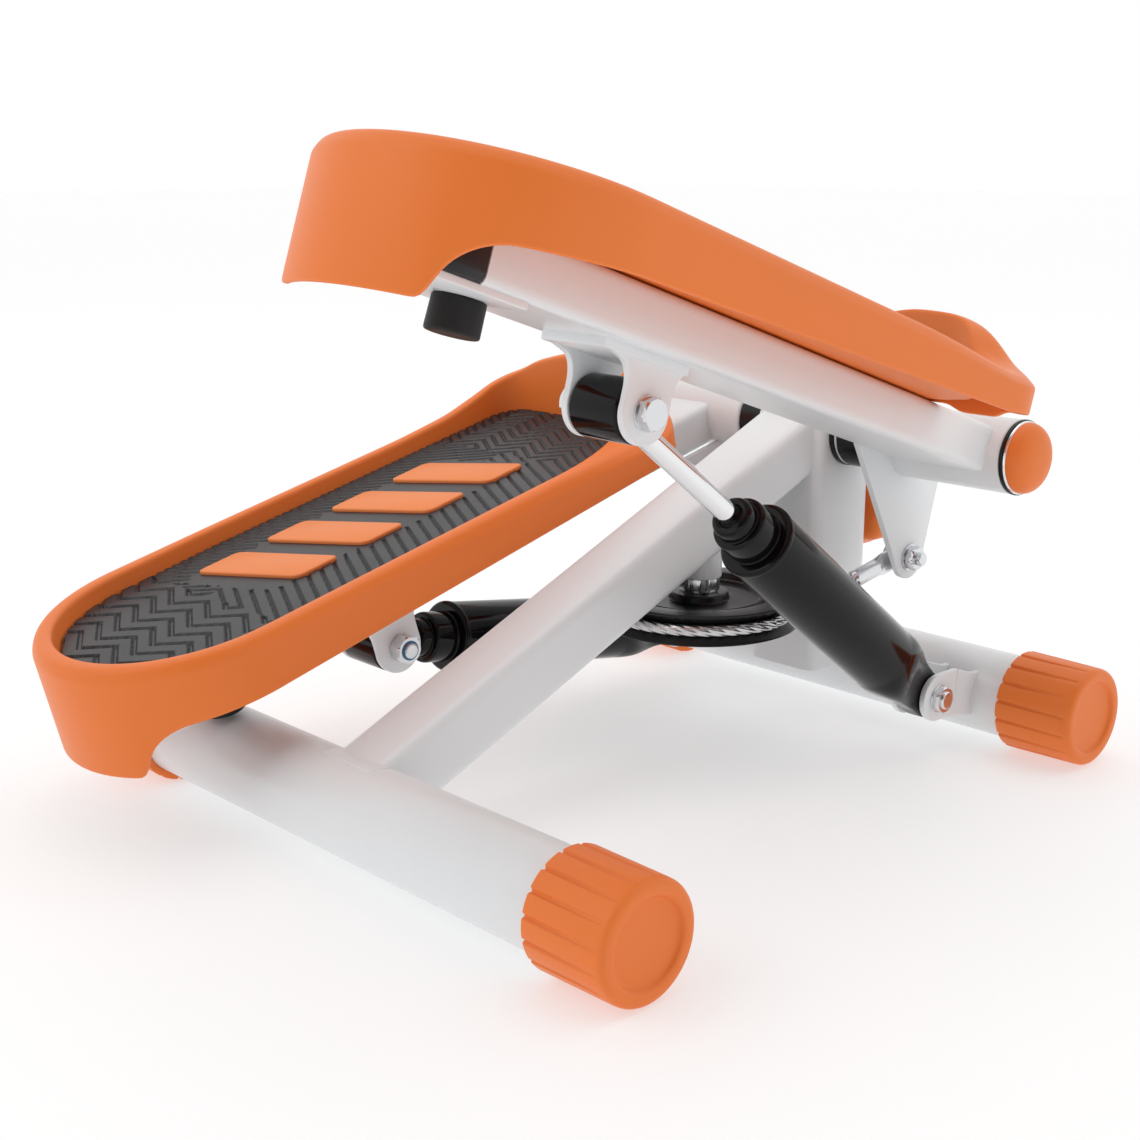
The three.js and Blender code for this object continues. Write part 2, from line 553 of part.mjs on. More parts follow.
function shellGeometry() {
  const stations = shellStations();
  const count = stations.length;
  const centre = [0, 190];
  // A point moved from the outer edge inwards, square to the outline.
  const inset = (i, by) => {
    const [a, b] = [stations[(i + count - 1) % count].outer, stations[(i + 1) % count].outer];
    const [dx, dy] = [b[0] - a[0], b[1] - a[1]];
    const size = Math.hypot(dx, dy);
    const [x, y] = stations[i].outer;
    return [x - (dy / size) * by, y + (dx / size) * by];
  };
  const towards = (i, share) => {
    const [[x0, y0], [x1, y1]] = [stations[i].outer, stations[i].inner];
    return [x0 + (x1 - x0) * share, y0 + (y1 - y0) * share];
  };
  const { wall } = SHELL;
  const rings = [
    (i, s) => [...s.outer, s.lower],
    (i, s) => [...s.outer, s.height - 4.5],
    (i, s) => [...towards(i, 0.2), s.height - 1.2],
    (i, s) => [...towards(i, 0.4), s.height],
    (i, s) => [...towards(i, 0.8), s.height],
    (i, s) => [...s.inner, s.height - 1.2],
    (i) => [...towards(i, 1.16), FLOOR.top],
  ];
  const underside = [
    (i) => [...towards(i, 0.95), FLOOR.under],
    (i, s) => [...towards(i, 0.72), s.height - 4],
    (i, s) => [...inset(i, wall + 1), s.height - 5.5],
    (i, s) => [...inset(i, wall), s.height - 7.5],
    (i, s) => [...inset(i, wall), s.lower],
  ];
  const positions = [];
  const ringStart = [];
  for (const ring of [...rings, ...underside]) {
    ringStart.push(positions.length / 3);
    stations.forEach((station, i) => {
      const [x, u, z] = ring(i, station);
      positions.push(x, -u, z);
    });
  }
  const index = [];
  const band = (a, b) => {
    for (let i = 0; i < count; i += 1) {
      const j = (i + 1) % count;
      index.push(a + i, a + j, b + j, a + i, b + j, b + i);
    }
  };
  const last = ringStart.length - 1;
  for (let k = 0; k < last; k += 1) if (k !== rings.length - 1) band(ringStart[k], ringStart[k + 1]);
  band(ringStart[last], ringStart[0]);
  for (const [ring, height, turn] of [[rings.length - 1, FLOOR.top, false], [rings.length, FLOOR.under, true]]) {
    const middle = positions.length / 3;
    positions.push(centre[0], -centre[1], height);
    for (let i = 0; i < count; i += 1) {
      const [a, b] = [ringStart[ring] + i, ringStart[ring] + ((i + 1) % count)];
      index.push(...(turn ? [middle, b, a] : [middle, a, b]));
    }
  }
  const geometry = new THREE.BufferGeometry();
  geometry.setAttribute("position", new THREE.Float32BufferAttribute(positions, 3));
  geometry.setIndex(index);
  return geometry;
}

// The mat fills the well inside the rim, with ribs across its two ends.
function matSolid() {
  const outline = new THREE.Shape();
  shellStations().forEach(({ outer, inner }, i) => {
    const reach = Math.hypot(inner[0] - outer[0], inner[1] - outer[1]);
    const share = 1.16 + MAT.margin / reach;
    const x = outer[0] + (inner[0] - outer[0]) * share;
    const y = -(outer[1] + (inner[1] - outer[1]) * share);
    if (i === 0) outline.moveTo(x, y);
    else outline.lineTo(x, y);
  });
  outline.closePath();
  return extrude(outline, MAT.top - MAT.bottom).translate(0, 0, MAT.bottom);
}

function addPedal(side) {
  const pedal = new THREE.Group();
  pedal.position.set(0, PIVOT.y, PIVOT.z);
  pedal.rotation.x = -(side > 0 ? RAISED : LOWERED) * DEG;
  root.add(pedal);
  addArm(pedal, side);
  addBumper(pedal, side);
  addClevis(pedal, side);
  addCableBracket(pedal, side);
  const shell = add(pedal, `pedal_shell_${sideName(side)}`, shellGeometry(), ORANGE);
  shell.position.x = side * SHELL.offset;
  const mat = add(pedal, `tread_mat_${sideName(side)}`, matSolid(), MAT_RUBBER);
  mat.position.x = side * SHELL.offset;
}

// ---- hydraulic cylinders: each one is built along +Z from its lower bolt ----
function addCylinder(side) {
  const angle = side > 0 ? RAISED : LOWERED;
  const { y, z } = pedalPoint(BOLT, angle);
  const length = boltDistance(angle);
  const cylinder = new THREE.Group();
  cylinder.position.set(side * LOWER.x, LOWER.y, LOWER.z);
  cylinder.rotation.x = Math.atan2(LOWER.y - y, z - LOWER.z);
  root.add(cylinder);

  const { r, from, to } = BODY;
    const barrel = turnedZ([
    [0, 18], [7, 18], [r - 1.5, from - 4], [r, from], [r, to - 2], [r - 0.7, to - 0.4], [r - 2, to], [0, to],
  ], 32);
  const flat = new THREE.Shape();
  flat.moveTo(0, -LOWER.eyeR);
  flat.absarc(0, 0, LOWER.eyeR, -Math.PI / 2, -Math.PI * 1.5, true);
  flat.lineTo(0, LOWER.eyeR);
  flat.lineTo(from - 6, r - 2.5);
  flat.lineTo(from - 6, -(r - 2.5));
  flat.closePath();
  const eye = extrude(flat, LOWER.half * 2, 12)
    .applyMatrix4(new THREE.Matrix4().set(0, 0, 1, -LOWER.half, 0, -1, 0, 0, 1, 0, 0, 0, 0, 0, 0, 1));
  const boltHole = barX(LOWER.boltR + GAP, -30, 30, 24);
  const bore = barZ(ROD_R + GAP, BODY.bore, 300, 24);
  add(cylinder, `cylinder_body_${sideName(side)}`, cut(join(barrel, eye), boltHole, bore), BLACK_GLOSS);

  const { nose, end } = GLAND;
  const gland = turnedZ([
    [ROD_R + GAP, to + GAP], [GLAND.r, to + GAP], [GLAND.r, to + 2], [GLAND.r - 1, to + 2.6], [GLAND.r - 1, to + 4],
    [GLAND.r, to + 4.6], [GLAND.r, GLAND.to - 1], [GLAND.r - 1, GLAND.to], [nose, GLAND.to], [nose, end - 1],
    [nose - 1, end], [ROD_R + GAP, end], [ROD_R + GAP, to + GAP],
  ], 24);
  add(cylinder, `cylinder_gland_${sideName(side)}`, gland, BLACK_GLOSS);

  const rodFrom = length - rodLength() - BUSH.r;
  const rodEnd = length - BUSH.r - GAP;
  add(cylinder, `piston_rod_${sideName(side)}`, barZ(ROD_R, rodFrom, rodEnd, 24), CHROME);
  const bush = ringX(BUSH.r, BUSH.bore, -BUSH.half, BUSH.half, 28).translate(0, 0, length);
  add(cylinder, `rod_bush_${sideName(side)}`, bush, BLACK_GLOSS);
}

// The rod just clears the bottom of its bore with the pedal lowered.
const rodLength = () => boltDistance(LOWERED) - BUSH.r - BODY.bore - 2;

addBase();
addStrutAndPost();
addPivot();
addLowerMounts();
addKnob();
addPulley();
addCable();
for (const side of [1, -1]) {
  addPedal(side);
  addCylinder(side);
}

export default root;
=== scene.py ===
"""Looks of the mini stepper: smooth surfaces, treads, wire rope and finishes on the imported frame.

Lengths are in millimetres, with +Y measured from the rear base tube's axis, until build() turns
them into the frame's metres. Every surface is a grid of rings computed from a formula.
"""

import json
import math

import bpy
import numpy as np
from mathutils import Euler, Matrix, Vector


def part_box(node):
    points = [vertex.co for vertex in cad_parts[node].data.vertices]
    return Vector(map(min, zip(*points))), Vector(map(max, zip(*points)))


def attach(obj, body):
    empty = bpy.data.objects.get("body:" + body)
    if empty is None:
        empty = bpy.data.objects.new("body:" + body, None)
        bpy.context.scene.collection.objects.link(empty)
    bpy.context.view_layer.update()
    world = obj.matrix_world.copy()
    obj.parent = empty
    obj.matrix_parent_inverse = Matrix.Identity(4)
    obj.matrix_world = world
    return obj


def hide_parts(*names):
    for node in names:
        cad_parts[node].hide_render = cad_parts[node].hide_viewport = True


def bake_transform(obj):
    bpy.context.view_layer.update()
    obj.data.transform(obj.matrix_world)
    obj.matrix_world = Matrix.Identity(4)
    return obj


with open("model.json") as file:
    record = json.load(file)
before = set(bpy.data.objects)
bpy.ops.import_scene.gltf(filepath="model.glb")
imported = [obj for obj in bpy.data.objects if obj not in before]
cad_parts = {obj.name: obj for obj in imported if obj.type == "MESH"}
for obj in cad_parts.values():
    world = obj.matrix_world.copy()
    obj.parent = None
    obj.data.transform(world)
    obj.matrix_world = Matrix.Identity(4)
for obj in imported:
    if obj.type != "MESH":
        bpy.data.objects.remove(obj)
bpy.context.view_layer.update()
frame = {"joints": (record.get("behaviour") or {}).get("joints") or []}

MM = 0.001
SIDE = {1: "right", -1: "left"}
REST_SLOPE = {1: 18.4, -1: -14.1}  # degrees, heel end up
CORE = 0.5  # a turned solid closes with a small flat face of this radius on its axis
JOINT = {joint["name"]: joint for joint in frame["joints"]}


def span(node):
    """The CAD node's lowest and highest corner, in millimetres of the row frame."""
    low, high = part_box(node)
    return np.array(low) / MM, np.array(high) / MM


def middle(node):
    low, high = span(node)
    return (low + high) / 2


REAR_Y = middle("rear_base_tube")[1]
FRONT_Y = middle("front_base_tube")[1] - REAR_Y
TUBE_Z = middle("rear_base_tube")[2]


def joint_point(name):
    """Where a joint sits, in millimetres from the rear tube's axis."""
    return np.array(JOINT[name]["pos_m"]) / MM - [0, REAR_Y, 0]


PIVOT = joint_point("right_pedal_swing")
HUB = joint_point("pulley_spin")
LOWER_BOLT = joint_point("right_cylinder_swing")


# ---------------------------------------------------------------- shapes


def rounded(points, radius, steps=5, closed=False):
    """Each corner of the polyline (..., k, d) becomes a quadratic curve that starts and ends
    `radius` from the corner, or just under half of the shorter side where that is less."""
    points = np.asarray(points, float)
    before = np.roll(points, 1, -2) - points
    after = np.roll(points, -1, -2) - points
    radius = np.broadcast_to(np.asarray(radius, float), points.shape[:-1])[..., None]
    len_before = np.linalg.norm(before, axis=-1, keepdims=True) + 1e-9
    len_after = np.linalg.norm(after, axis=-1, keepdims=True) + 1e-9
    cut_before = np.minimum(radius, 0.48 * len_before)
    cut_after = np.minimum(radius, 0.48 * len_after)
    if not closed:
        cut_before[..., [0, -1], :] = 0
        cut_after[..., [0, -1], :] = 0
    start = (points + before / len_before * cut_before)[..., None, :]
    end = (points + after / len_after * cut_after)[..., None, :]
    t = np.linspace(0, 1, steps)[:, None]
    curve = (1 - t) ** 2 * start + 2 * t * (1 - t) * points[..., None, :] + t**2 * end
    return curve.reshape(*points.shape[:-2], -1, points.shape[-1])


def smoothstep(x, low, high):
    t = np.clip((x - low) / (high - low), 0, 1)
    return t * t * (3 - 2 * t)


def angles(count):
    return np.arange(count) / count * 2 * np.pi


def rings(sections):
    """A closed surface from sections (m, n, 3): quads join each ring to the next, and a flat face
    closes each end."""
    sections = np.asarray(sections, float)
    m, n = sections.shape[:2]
    i, j = np.meshgrid(np.arange(m - 1), np.arange(n), indexing="ij")
    k = (j + 1) % n
    quads = np.stack([i * n + j, i * n + k, (i + 1) * n + k, (i + 1) * n + j], -1).reshape(-1, 4)
    caps = [np.arange(n)[::-1], np.arange(n) + (m - 1) * n]
    return sections.reshape(-1, 3), quads, caps


def turned(profile, place, count=96, radius=0.6, lobes=None):
    """A turned piece: the profile's (position, radius) pairs, corners rounded, swept round the
    axis. lobes(angle, position), if given, is added to the radius."""
    shape = rounded(profile, radius)
    a = angles(count)
    along, reach = shape[:, :1] + 0 * a, shape[:, 1:] + 0 * a
    if lobes is not None:
        reach = reach + lobes(a[None, :], along)
    return rings(place(np.stack([along, reach * np.cos(a), reach * np.sin(a)], -1)))


def collar(low, high, inner, outer, place, count=96, radius=0.6):
    """A turned cylinder from low to high, whose end faces reach in to the inner radius."""
    profile = [[low, inner], [low, outer], [high, outer], [high, inner]]
    return turned(profile, place, count, radius)


def beam(width, height, radius, stations, place):
    """A straight bar with a rounded rectangular section. stations are (position, inset) pairs:
    the section is smaller by the inset all round there."""
    sections = []
    for position, inset in stations:
        w, h = width / 2 - inset, height / 2 - inset
        corners = [[w, h], [-w, h], [-w, -h], [w, -h]]
        ring = rounded(corners, max(radius - inset, 0.2), 6, closed=True)
        sections.append(np.column_stack([np.full(len(ring), position), ring]))
    return rings(place(np.array(sections)))


def slab(outline, low, high, bevel, place):
    """A plate with the closed outline (n, 2), from low to high, with its rims rounded by moving
    the outline inwards along its own normals."""
    x, y = np.asarray(outline, float).T
    tangent = np.roll(outline, -1, 0) - np.roll(outline, 1, 0)
    normal = np.column_stack([tangent[:, 1], -tangent[:, 0]])
    normal /= np.linalg.norm(normal, axis=1, keepdims=True) + 1e-9
    normal *= -np.sign(np.sum(x * np.roll(y, -1) - np.roll(x, -1) * y))
    rim = [(bevel * t, bevel * (1 - math.sqrt(1 - (1 - t) ** 2))) for t in (0, 0.3, 0.65, 1)]
    stations = [(low + rise, inset) for rise, inset in rim]
    stations += [(high - rise, inset) for rise, inset in reversed(rim)]
    sections = [np.column_stack([np.full(len(x), at), outline + normal * inset]) for at, inset in stations]
    return rings(place(np.array(sections)))


def rectangle(half_width, near, far, radius):
    corners = [[-half_width, near], [half_width, near], [half_width, far], [-half_width, far]]
    return rounded(corners, radius, closed=True)


def hexagon(across, low, high, place):
    """A bolt head or nut: the radius is the hexagon's or the chamfer cone's, whichever is less."""
    chamfer, count = 0.7, 72
    a = angles(count)
    flat = across / 2 / np.cos((a + np.pi / 6) % (np.pi / 3) - np.pi / 6)
    sections = []
    for at, limit in ((low, 1.0), (low + chamfer, 1.13), (high - chamfer, 1.13), (high, 0.98)):
        reach = np.minimum(flat, across / 2 * limit)
        sections.append(np.column_stack([np.full(count, at), reach * np.cos(a), reach * np.sin(a)]))
    return rings(place(np.array(sections)))


def rope(path, radius, strands=6, lay=36.0):
    """A wire rope along the path (m, 3), each ring square to it. The radius swells over each
    strand, and the strands wind once round the rope in one lay length."""
    count = 48
    travel = np.cumsum(np.linalg.norm(np.diff(path, axis=0, prepend=path[:1]), axis=1))[:, None]
    tangent = np.gradient(path, axis=0)
    tangent /= np.linalg.norm(tangent, axis=1, keepdims=True)
    side = np.cross(tangent, [0.0, 0.0, 1.0])
    side /= np.linalg.norm(side, axis=1, keepdims=True)
    lift = np.cross(side, tangent)
    a = angles(count)
    swell = np.abs(np.cos(strands / 2 * (a + 2 * np.pi * travel / lay)))
    reach = (radius * (0.84 + 0.16 * swell))[..., None]
    around = np.cos(a)[:, None] * side[:, None] + np.sin(a)[:, None] * lift[:, None]
    return rings(path[:, None] + reach * around)


# A place function turns local points (position along, across, third) into machine points.


def x_axis(origin=(0, 0, 0)):
    return lambda p: p + np.asarray(origin, float)


def y_axis(origin):
    return lambda p: p[..., [1, 0, 2]] + np.asarray(origin, float)


def z_axis(origin):
    return lambda p: p[..., [1, 2, 0]] + np.asarray(origin, float)


def outwards(side, origin):
    """Position runs along X, away from the machine's middle on that side."""
    return lambda p: p * [side, 1, 1] + np.asarray(origin, float)


def pedal_frame(side, local):
    """local() gives (x, u, w): x across the machine, u from the axle to the heel, w square to the
    tread. The pedal's slope turns that about the axle."""
    slope = math.radians(REST_SLOPE[side])
    s, c = math.sin(slope), math.cos(slope)

    def place(p):
        p = local(p)
        x, u, w = p[..., 0], p[..., 1], p[..., 2]
        return np.stack([x, PIVOT[1] - u * c + w * s, PIVOT[2] + u * s + w * c], -1)

    return place


def axis_frame(origin, axis, local=x_axis()):
    """local() gives (s, x, a): s along the unit axis, x nearly across the machine, a the third."""
    third = np.cross(axis, [1.0, 0, 0])
    across = np.cross(third, axis)

    def place(p):
        p = local(p)
        return origin + p[..., :1] * axis + p[..., 1:2] * across + p[..., 2:3] * third

    return place


# ---------------------------------------------------------------- finishes


def variation_group():
    """Slow blotches in roughness and colour with a fine grain over them: two noise fields of the
    object's own coordinates, mixed by the Amount input."""
    group = bpy.data.node_groups.new("surface_variation", "ShaderNodeTree")
    value = "NodeSocketFloat"
    inputs = (("Color", "NodeSocketColor"), ("Roughness", value), ("Amount", value), ("Grain scale", value))
    for name, kind in inputs:
        group.interface.new_socket(name, in_out="INPUT", socket_type=kind)
    for name, kind in (("Color", "NodeSocketColor"), ("Roughness", value), ("Height", value)):
        group.interface.new_socket(name, in_out="OUTPUT", socket_type=kind)
    new, link = group.nodes.new, group.links.new
    source, result = new("NodeGroupInput"), new("NodeGroupOutput")
    where = new("ShaderNodeTexCoord")
    slow, fine = new("ShaderNodeTexNoise"), new("ShaderNodeTexNoise")
    slow.inputs["Scale"].default_value = 26
    slow.inputs["Detail"].default_value = 4
    fine.inputs["Detail"].default_value = 2
    link(where.outputs["Object"], slow.inputs["Vector"])
    link(where.outputs["Object"], fine.inputs["Vector"])
    link(source.outputs["Grain scale"], fine.inputs["Scale"])

    def maths(kind, a, b):
        node = new("ShaderNodeMath")
        node.operation = kind
        for socket, value in zip(node.inputs, (a, b)):
            if isinstance(value, (int, float)):
                socket.default_value = value
            else:
                link(value, socket)
        return node.outputs[0]

    amount = source.outputs["Amount"]
    swing = maths("MULTIPLY", maths("SUBTRACT", slow.outputs[0], 0.5), amount)
    grain = maths("MULTIPLY", maths("SUBTRACT", fine.outputs[0], 0.5), maths("MULTIPLY", amount, 0.5))
    rough = maths("ADD", source.outputs["Roughness"], maths("ADD", swing, grain))
    tone = new("ShaderNodeHueSaturation")
    link(source.outputs["Color"], tone.inputs["Color"])
    link(maths("ADD", 1.0, maths("MULTIPLY", swing, 0.5)), tone.inputs["Value"])
    link(tone.outputs[0], result.inputs["Color"])
    link(rough, result.inputs["Roughness"])
    link(fine.outputs[0], result.inputs["Height"])
    return group


VARIATION = variation_group()


def finish(name, color, roughness, *, amount, grain, bump, metallic=0.0, coat=0.0, specular=0.5):
    """A material whose roughness and tone vary by amount, with grain of that scale as its relief."""
    material = bpy.data.materials.new(name)
    material.use_nodes = True
    nodes, link = material.node_tree.nodes, material.node_tree.links.new
    shader = nodes["Principled BSDF"]
    group = nodes.new("ShaderNodeGroup")
    group.node_tree = VARIATION
    group.inputs["Color"].default_value = (*color, 1)
    group.inputs["Roughness"].default_value = roughness
    group.inputs["Amount"].default_value = amount
    group.inputs["Grain scale"].default_value = grain
    relief = nodes.new("ShaderNodeBump")
    relief.inputs["Strength"].default_value = bump
    relief.inputs["Distance"].default_value = 0.0004
    link(group.outputs["Height"], relief.inputs["Height"])
    link(relief.outputs[0], shader.inputs["Normal"])
    link(group.outputs["Color"], shader.inputs["Base Color"])
    link(group.outputs["Roughness"], shader.inputs["Roughness"])
    shader.inputs["Metallic"].default_value = metallic
    shader.inputs["Coat Weight"].default_value = coat
    shader.inputs["Coat Roughness"].default_value = 0.06
    shader.inputs["Specular IOR Level"].default_value = specular
    return material


WHITE = finish("white powder coat", (0.80, 0.82, 0.835), 0.32,
               amount=0.05, grain=420, bump=0.012, coat=0.1, specular=0.4)
ORANGE = finish("orange moulding", (0.86, 0.205, 0.038), 0.42,
                amount=0.10, grain=1500, bump=0.08, specular=0.28)
INLAY = finish("orange inlay", (0.90, 0.26, 0.070), 0.44,
               amount=0.10, grain=1500, bump=0.08, specular=0.35)
TREAD = finish("tread rubber", (0.031, 0.031, 0.034), 0.37,
               amount=0.18, grain=1300, bump=0.15, specular=0.4)
RUBBER = finish("bumper rubber", (0.010, 0.010, 0.011), 0.50,
                amount=0.18, grain=1300, bump=0.15, specular=0.3)
PLASTIC = finish("black moulding", (0.008, 0.008, 0.009), 0.30,
                 amount=0.12, grain=1500, bump=0.10, specular=0.3)
GLOSS = finish("black gloss", (0.004, 0.004, 0.005), 0.10,
               amount=0.04, grain=300, bump=0.005, specular=0.2)
CHROME = finish("chrome", (0.82, 0.83, 0.84), 0.07,
                amount=0.03, grain=500, bump=0.006, metallic=1.0)
ZINC = finish("zinc plate", (0.72, 0.73, 0.75), 0.22,
              amount=0.16, grain=800, bump=0.05, metallic=1.0)
WIRE = finish("wire rope", (0.62, 0.62, 0.63), 0.28,
              amount=0.2, grain=1200, bump=0.05, metallic=1.0)
NYLON = finish("blue nylon", (0.03, 0.16, 0.33), 0.4,
               amount=0.1, grain=1200, bump=0.05)


# ---------------------------------------------------------------- building


def build(name, shapes, material, body, node=None, sharp=38, blend=None):
    """One object from closed surfaces, in place of the CAD node given. Each surface is turned to
    face outwards, by the sign of the volume that its fans of triangles enclose."""
    points, faces, start = [], [], 0
    for verts, quads, caps in shapes:
        triangles = [quads[:, [0, 1, 2]], quads[:, [0, 2, 3]]]
        for cap in caps:
            triangles.append(np.column_stack([np.full(len(cap) - 2, cap[0]), cap[1:-1], cap[2:]]))
        t = verts[np.concatenate(triangles)]
        volume = np.einsum("ij,ij->i", t[:, 0], np.cross(t[:, 1], t[:, 2])).sum()
        turn = -1 if volume < 0 else 1
        faces += (quads[:, ::turn] + start).tolist()
        faces += [(cap[::turn] + start).tolist() for cap in caps]
        points.append(verts)
        start += len(verts)
    mesh = bpy.data.meshes.new(name)
    mesh.from_pydata(((np.concatenate(points) + [0, REAR_Y, 0]) * MM).tolist(), [], faces)
    mesh.polygons.foreach_set("use_smooth", np.ones(len(mesh.polygons), bool))
    mesh.set_sharp_from_angle(angle=math.radians(sharp))
    mesh.materials.append(material)
    mesh.update()
    piece = bpy.data.objects.new(name, mesh)
    bpy.context.scene.collection.objects.link(piece)
    if node:
        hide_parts(node)
    if blend:
        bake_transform(piece)
    else:
        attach(piece, body)


def replace(node, shapes, material, body, sharp=38, blend=None):
    """Most pieces take the name of the CAD node they stand in for."""
    build(node, shapes, material, body, node, sharp, blend)


# ---------------------------------------------------------------- frame

TUBE_R = 19.0
CAP_R, FLUTES = 22.2, 16
AXLE_LINE = PIVOT * [0, 1, 1]
AXLE_END = 110.7
BORE = 8.4  # round the axle, and in the rods' bushes
PLATE_HALF = 1.5  # half the thickness of the ears and hangers


def flutes(angle, along, inner, outer):
    """Narrow grooves between wide flutes. They are deepest for the first 8 mm, then fade to a
    quarter by 9 mm before the outer face and to nothing by 2 mm before it."""
    depth, step = 1.25, 2 * np.pi / FLUTES
    off = np.abs(angle % step - step / 2) * CAP_R
    fade = 0.75 * smoothstep(along, inner + 8, outer - 9) + 0.25 * smoothstep(along, outer - 9, outer - 2)
    return -depth * (1 - smoothstep(off, 0.3, 1.15)) * (1 - fade)


def foot_cap(row, y, side):
    """A fluted cap over the end of a base tube, with a shallow dish in its outer face."""
    node = f"{row}_foot_cap_{SIDE[side]}"
    low, high = span(node)
    inner, outer = (low[0], high[0]) if side > 0 else (-high[0], -low[0])
    dish_r, depth = 14.9, 1.9
    profile = [[inner + 3, 17], [inner, 19.4], [inner, CAP_R], [outer, CAP_R - 0.5], [outer, dish_r + 1.3],
               [outer - depth, dish_r], [outer - depth, 0.6]]
    radii = [0, 0.6, 0.9, 3.0, 1.2, 1.2, 0]

    def place(p):
        return np.stack([side * p[..., 0], y + p[..., 2], TUBE_Z - p[..., 1]], -1)

    shape = turned(profile, place, FLUTES * 30, radii, lambda a, s: flutes(a, s, inner, outer))
    replace(node, [shape], ORANGE, "frame", 30)


def base_tubes():
    for row, y in (("rear", 0.0), ("front", FRONT_Y)):
        low, high = span(f"{row}_base_tube")
        tube = collar(low[0], high[0], CORE, TUBE_R, x_axis([0, y, TUBE_Z]), 128)
        replace(f"{row}_base_tube", [tube], WHITE, "frame")
        for side in (1, -1):
            foot_cap(row, y, side)


def strut():
    """The strut rises at a slope from inside the rear tube into the post, over a thin saddle
    that follows the tube."""
    width, height = 30.0, 27.4
    slope = math.radians(23.5)
    start = np.array([0, 8.0, 42.5])
    along = np.array([0, math.cos(slope), math.sin(slope)])
    down = np.array([0, math.sin(slope), -math.cos(slope)])
    across = np.array([1.0, 0, 0])

    def on_slope(p):
        return start + p[..., :1] * along + (p[..., 2:3] + height / 2) * down + p[..., 1:2] * across

    def on_tube(p):
        y, sunk = p[..., 2] + 1.5, 0.4
        return np.stack([p[..., 1], y, TUBE_Z + np.sqrt(TUBE_R**2 - y**2) + p[..., 0] - sunk], -1)

    replace("strut", [beam(width, height, 5.5, [(-20, 0), (268, 0)], on_slope)], WHITE, "frame")
    replace("strut_saddle", [slab(rectangle(15.6, -5, 5, 1.5), 0, 0.9, 0.4, on_tube)], WHITE, "frame")


def upright_post():
    """A rectangular tube whose cap shrinks in steps, so that its top edge is rounded."""
    low, high = span("upright_post")
    top = high[2]
    stations = [(TUBE_Z + 4, 0), (top - 3, 0), (top - 1.6, 0.35), (top - 0.5, 1.3), (top, 3)]
    place = z_axis([0, (low[1] + high[1]) / 2 - REAR_Y, 0])
    post = beam(high[0] - low[0], high[1] - low[1], 6.5, stations, place)
    replace("upright_post", [post], WHITE, "frame")


def axle():
    """The axle, and on each side of the post a black spacer with a bright ring in its groove."""
    bar = collar(-AXLE_END, AXLE_END, CORE, 8, x_axis(AXLE_LINE), 64)
    replace("pivot_axle", [bar], ZINC, "frame")
    profile = [[19.2, 8.3], [19.2, 15.2], [21.8, 15.2], [21.8, 14.2], [23.2, 14.2], [23.2, 15.0],
               [34.7, 15.0], [34.7, 8.3]]
    for side in (1, -1):
        place = outwards(side, AXLE_LINE)
        replace(f"axle_spacer_{SIDE[side]}", [turned(profile, place, 96, 0.4)], PLASTIC, "frame")
        ring = collar(21.9, 23.1, 13.8, 14.9, place, 96, 0.2)
        build(f"spacer_ring_{SIDE[side]}", [ring], CHROME, "frame")


def cylinder_bracket(side):
    """Two rounded ears welded to the front tube, the piece between them, and the bolt."""
    name, x = SIDE[side], side * LOWER_BOLT[0]
    y, z = LOWER_BOLT[1:]
    nose_r, ear_x = 10.5, 7.8
    turn = np.linspace(math.pi * 0.5, math.pi * 1.5, 40)
    nose = np.column_stack([y + nose_r * np.cos(turn), z + nose_r * np.sin(turn)])
    tail = [[y + 12, z - nose_r], [FRONT_Y - 16, TUBE_Z - 8], [FRONT_Y - 10, TUBE_Z - 6],
            [FRONT_Y - 10, TUBE_Z + 14], [FRONT_Y - 16, TUBE_Z + 12], [y + 14, z + nose_r]]
    ear = np.vstack([nose, rounded(tail, 6)])
    link = rounded([[y + 22, 16], [FRONT_Y - 12, 14], [FRONT_Y - 12, 32], [y + 22, 30]], 2, closed=True)
    shapes = []
    for ear_at in (x + ear_x, x - ear_x):
        shapes.append(slab(ear, ear_at - PLATE_HALF, ear_at + PLATE_HALF, 0.6, x_axis()))
    shapes.append(slab(link, x - 7, x + 7, 0.5, x_axis()))
    replace(f"cylinder_bracket_{name}", shapes, WHITE, "frame")
    at = x_axis([x, y, z])
    bolt = [collar(-15, 14.3, CORE, 4, at, 40, 0.8), hexagon(11, 9.6, 13.2, at),
            hexagon(11, -14, -9.6, at), collar(9.3, 9.9, 4, 6.2, at, 48, 0.2)]
    replace(f"cylinder_bolt_{name}", bolt, ZINC, "frame", 30)


def adjusting_knob():
    """A grip with eight lobes, r = R - 1.3 + 1.3 cos 8a, on a stem into the post."""
    low, high = span("adjusting_knob")
    back, face = low[1] - REAR_Y, high[1] - REAR_Y
    place = y_axis([0, 0, (low[2] + high[2]) / 2])
    grip = turned([[face - 24, 4], [face - 24, 22], [face - 21, 24.6], [face - 4, 24.6], [face, 21],
                   [face - 0.8, 12], [face - 0.8, 0.6]], place, 192, 2.4,
                  lambda a, s: -1.3 + 1.3 * np.cos(8 * a) + 0 * s)
    replace("adjusting_knob", [grip, collar(back, face - 20, 0.6, 5, place, 40)], ORANGE, "knob")


# ---------------------------------------------------------------- pulley and cable

CABLE_AT, CABLE_R = 43.0, 2.5
CABLE_BOLT = [48.0, -20.0, -50.0]  # x, u, w on a pedal


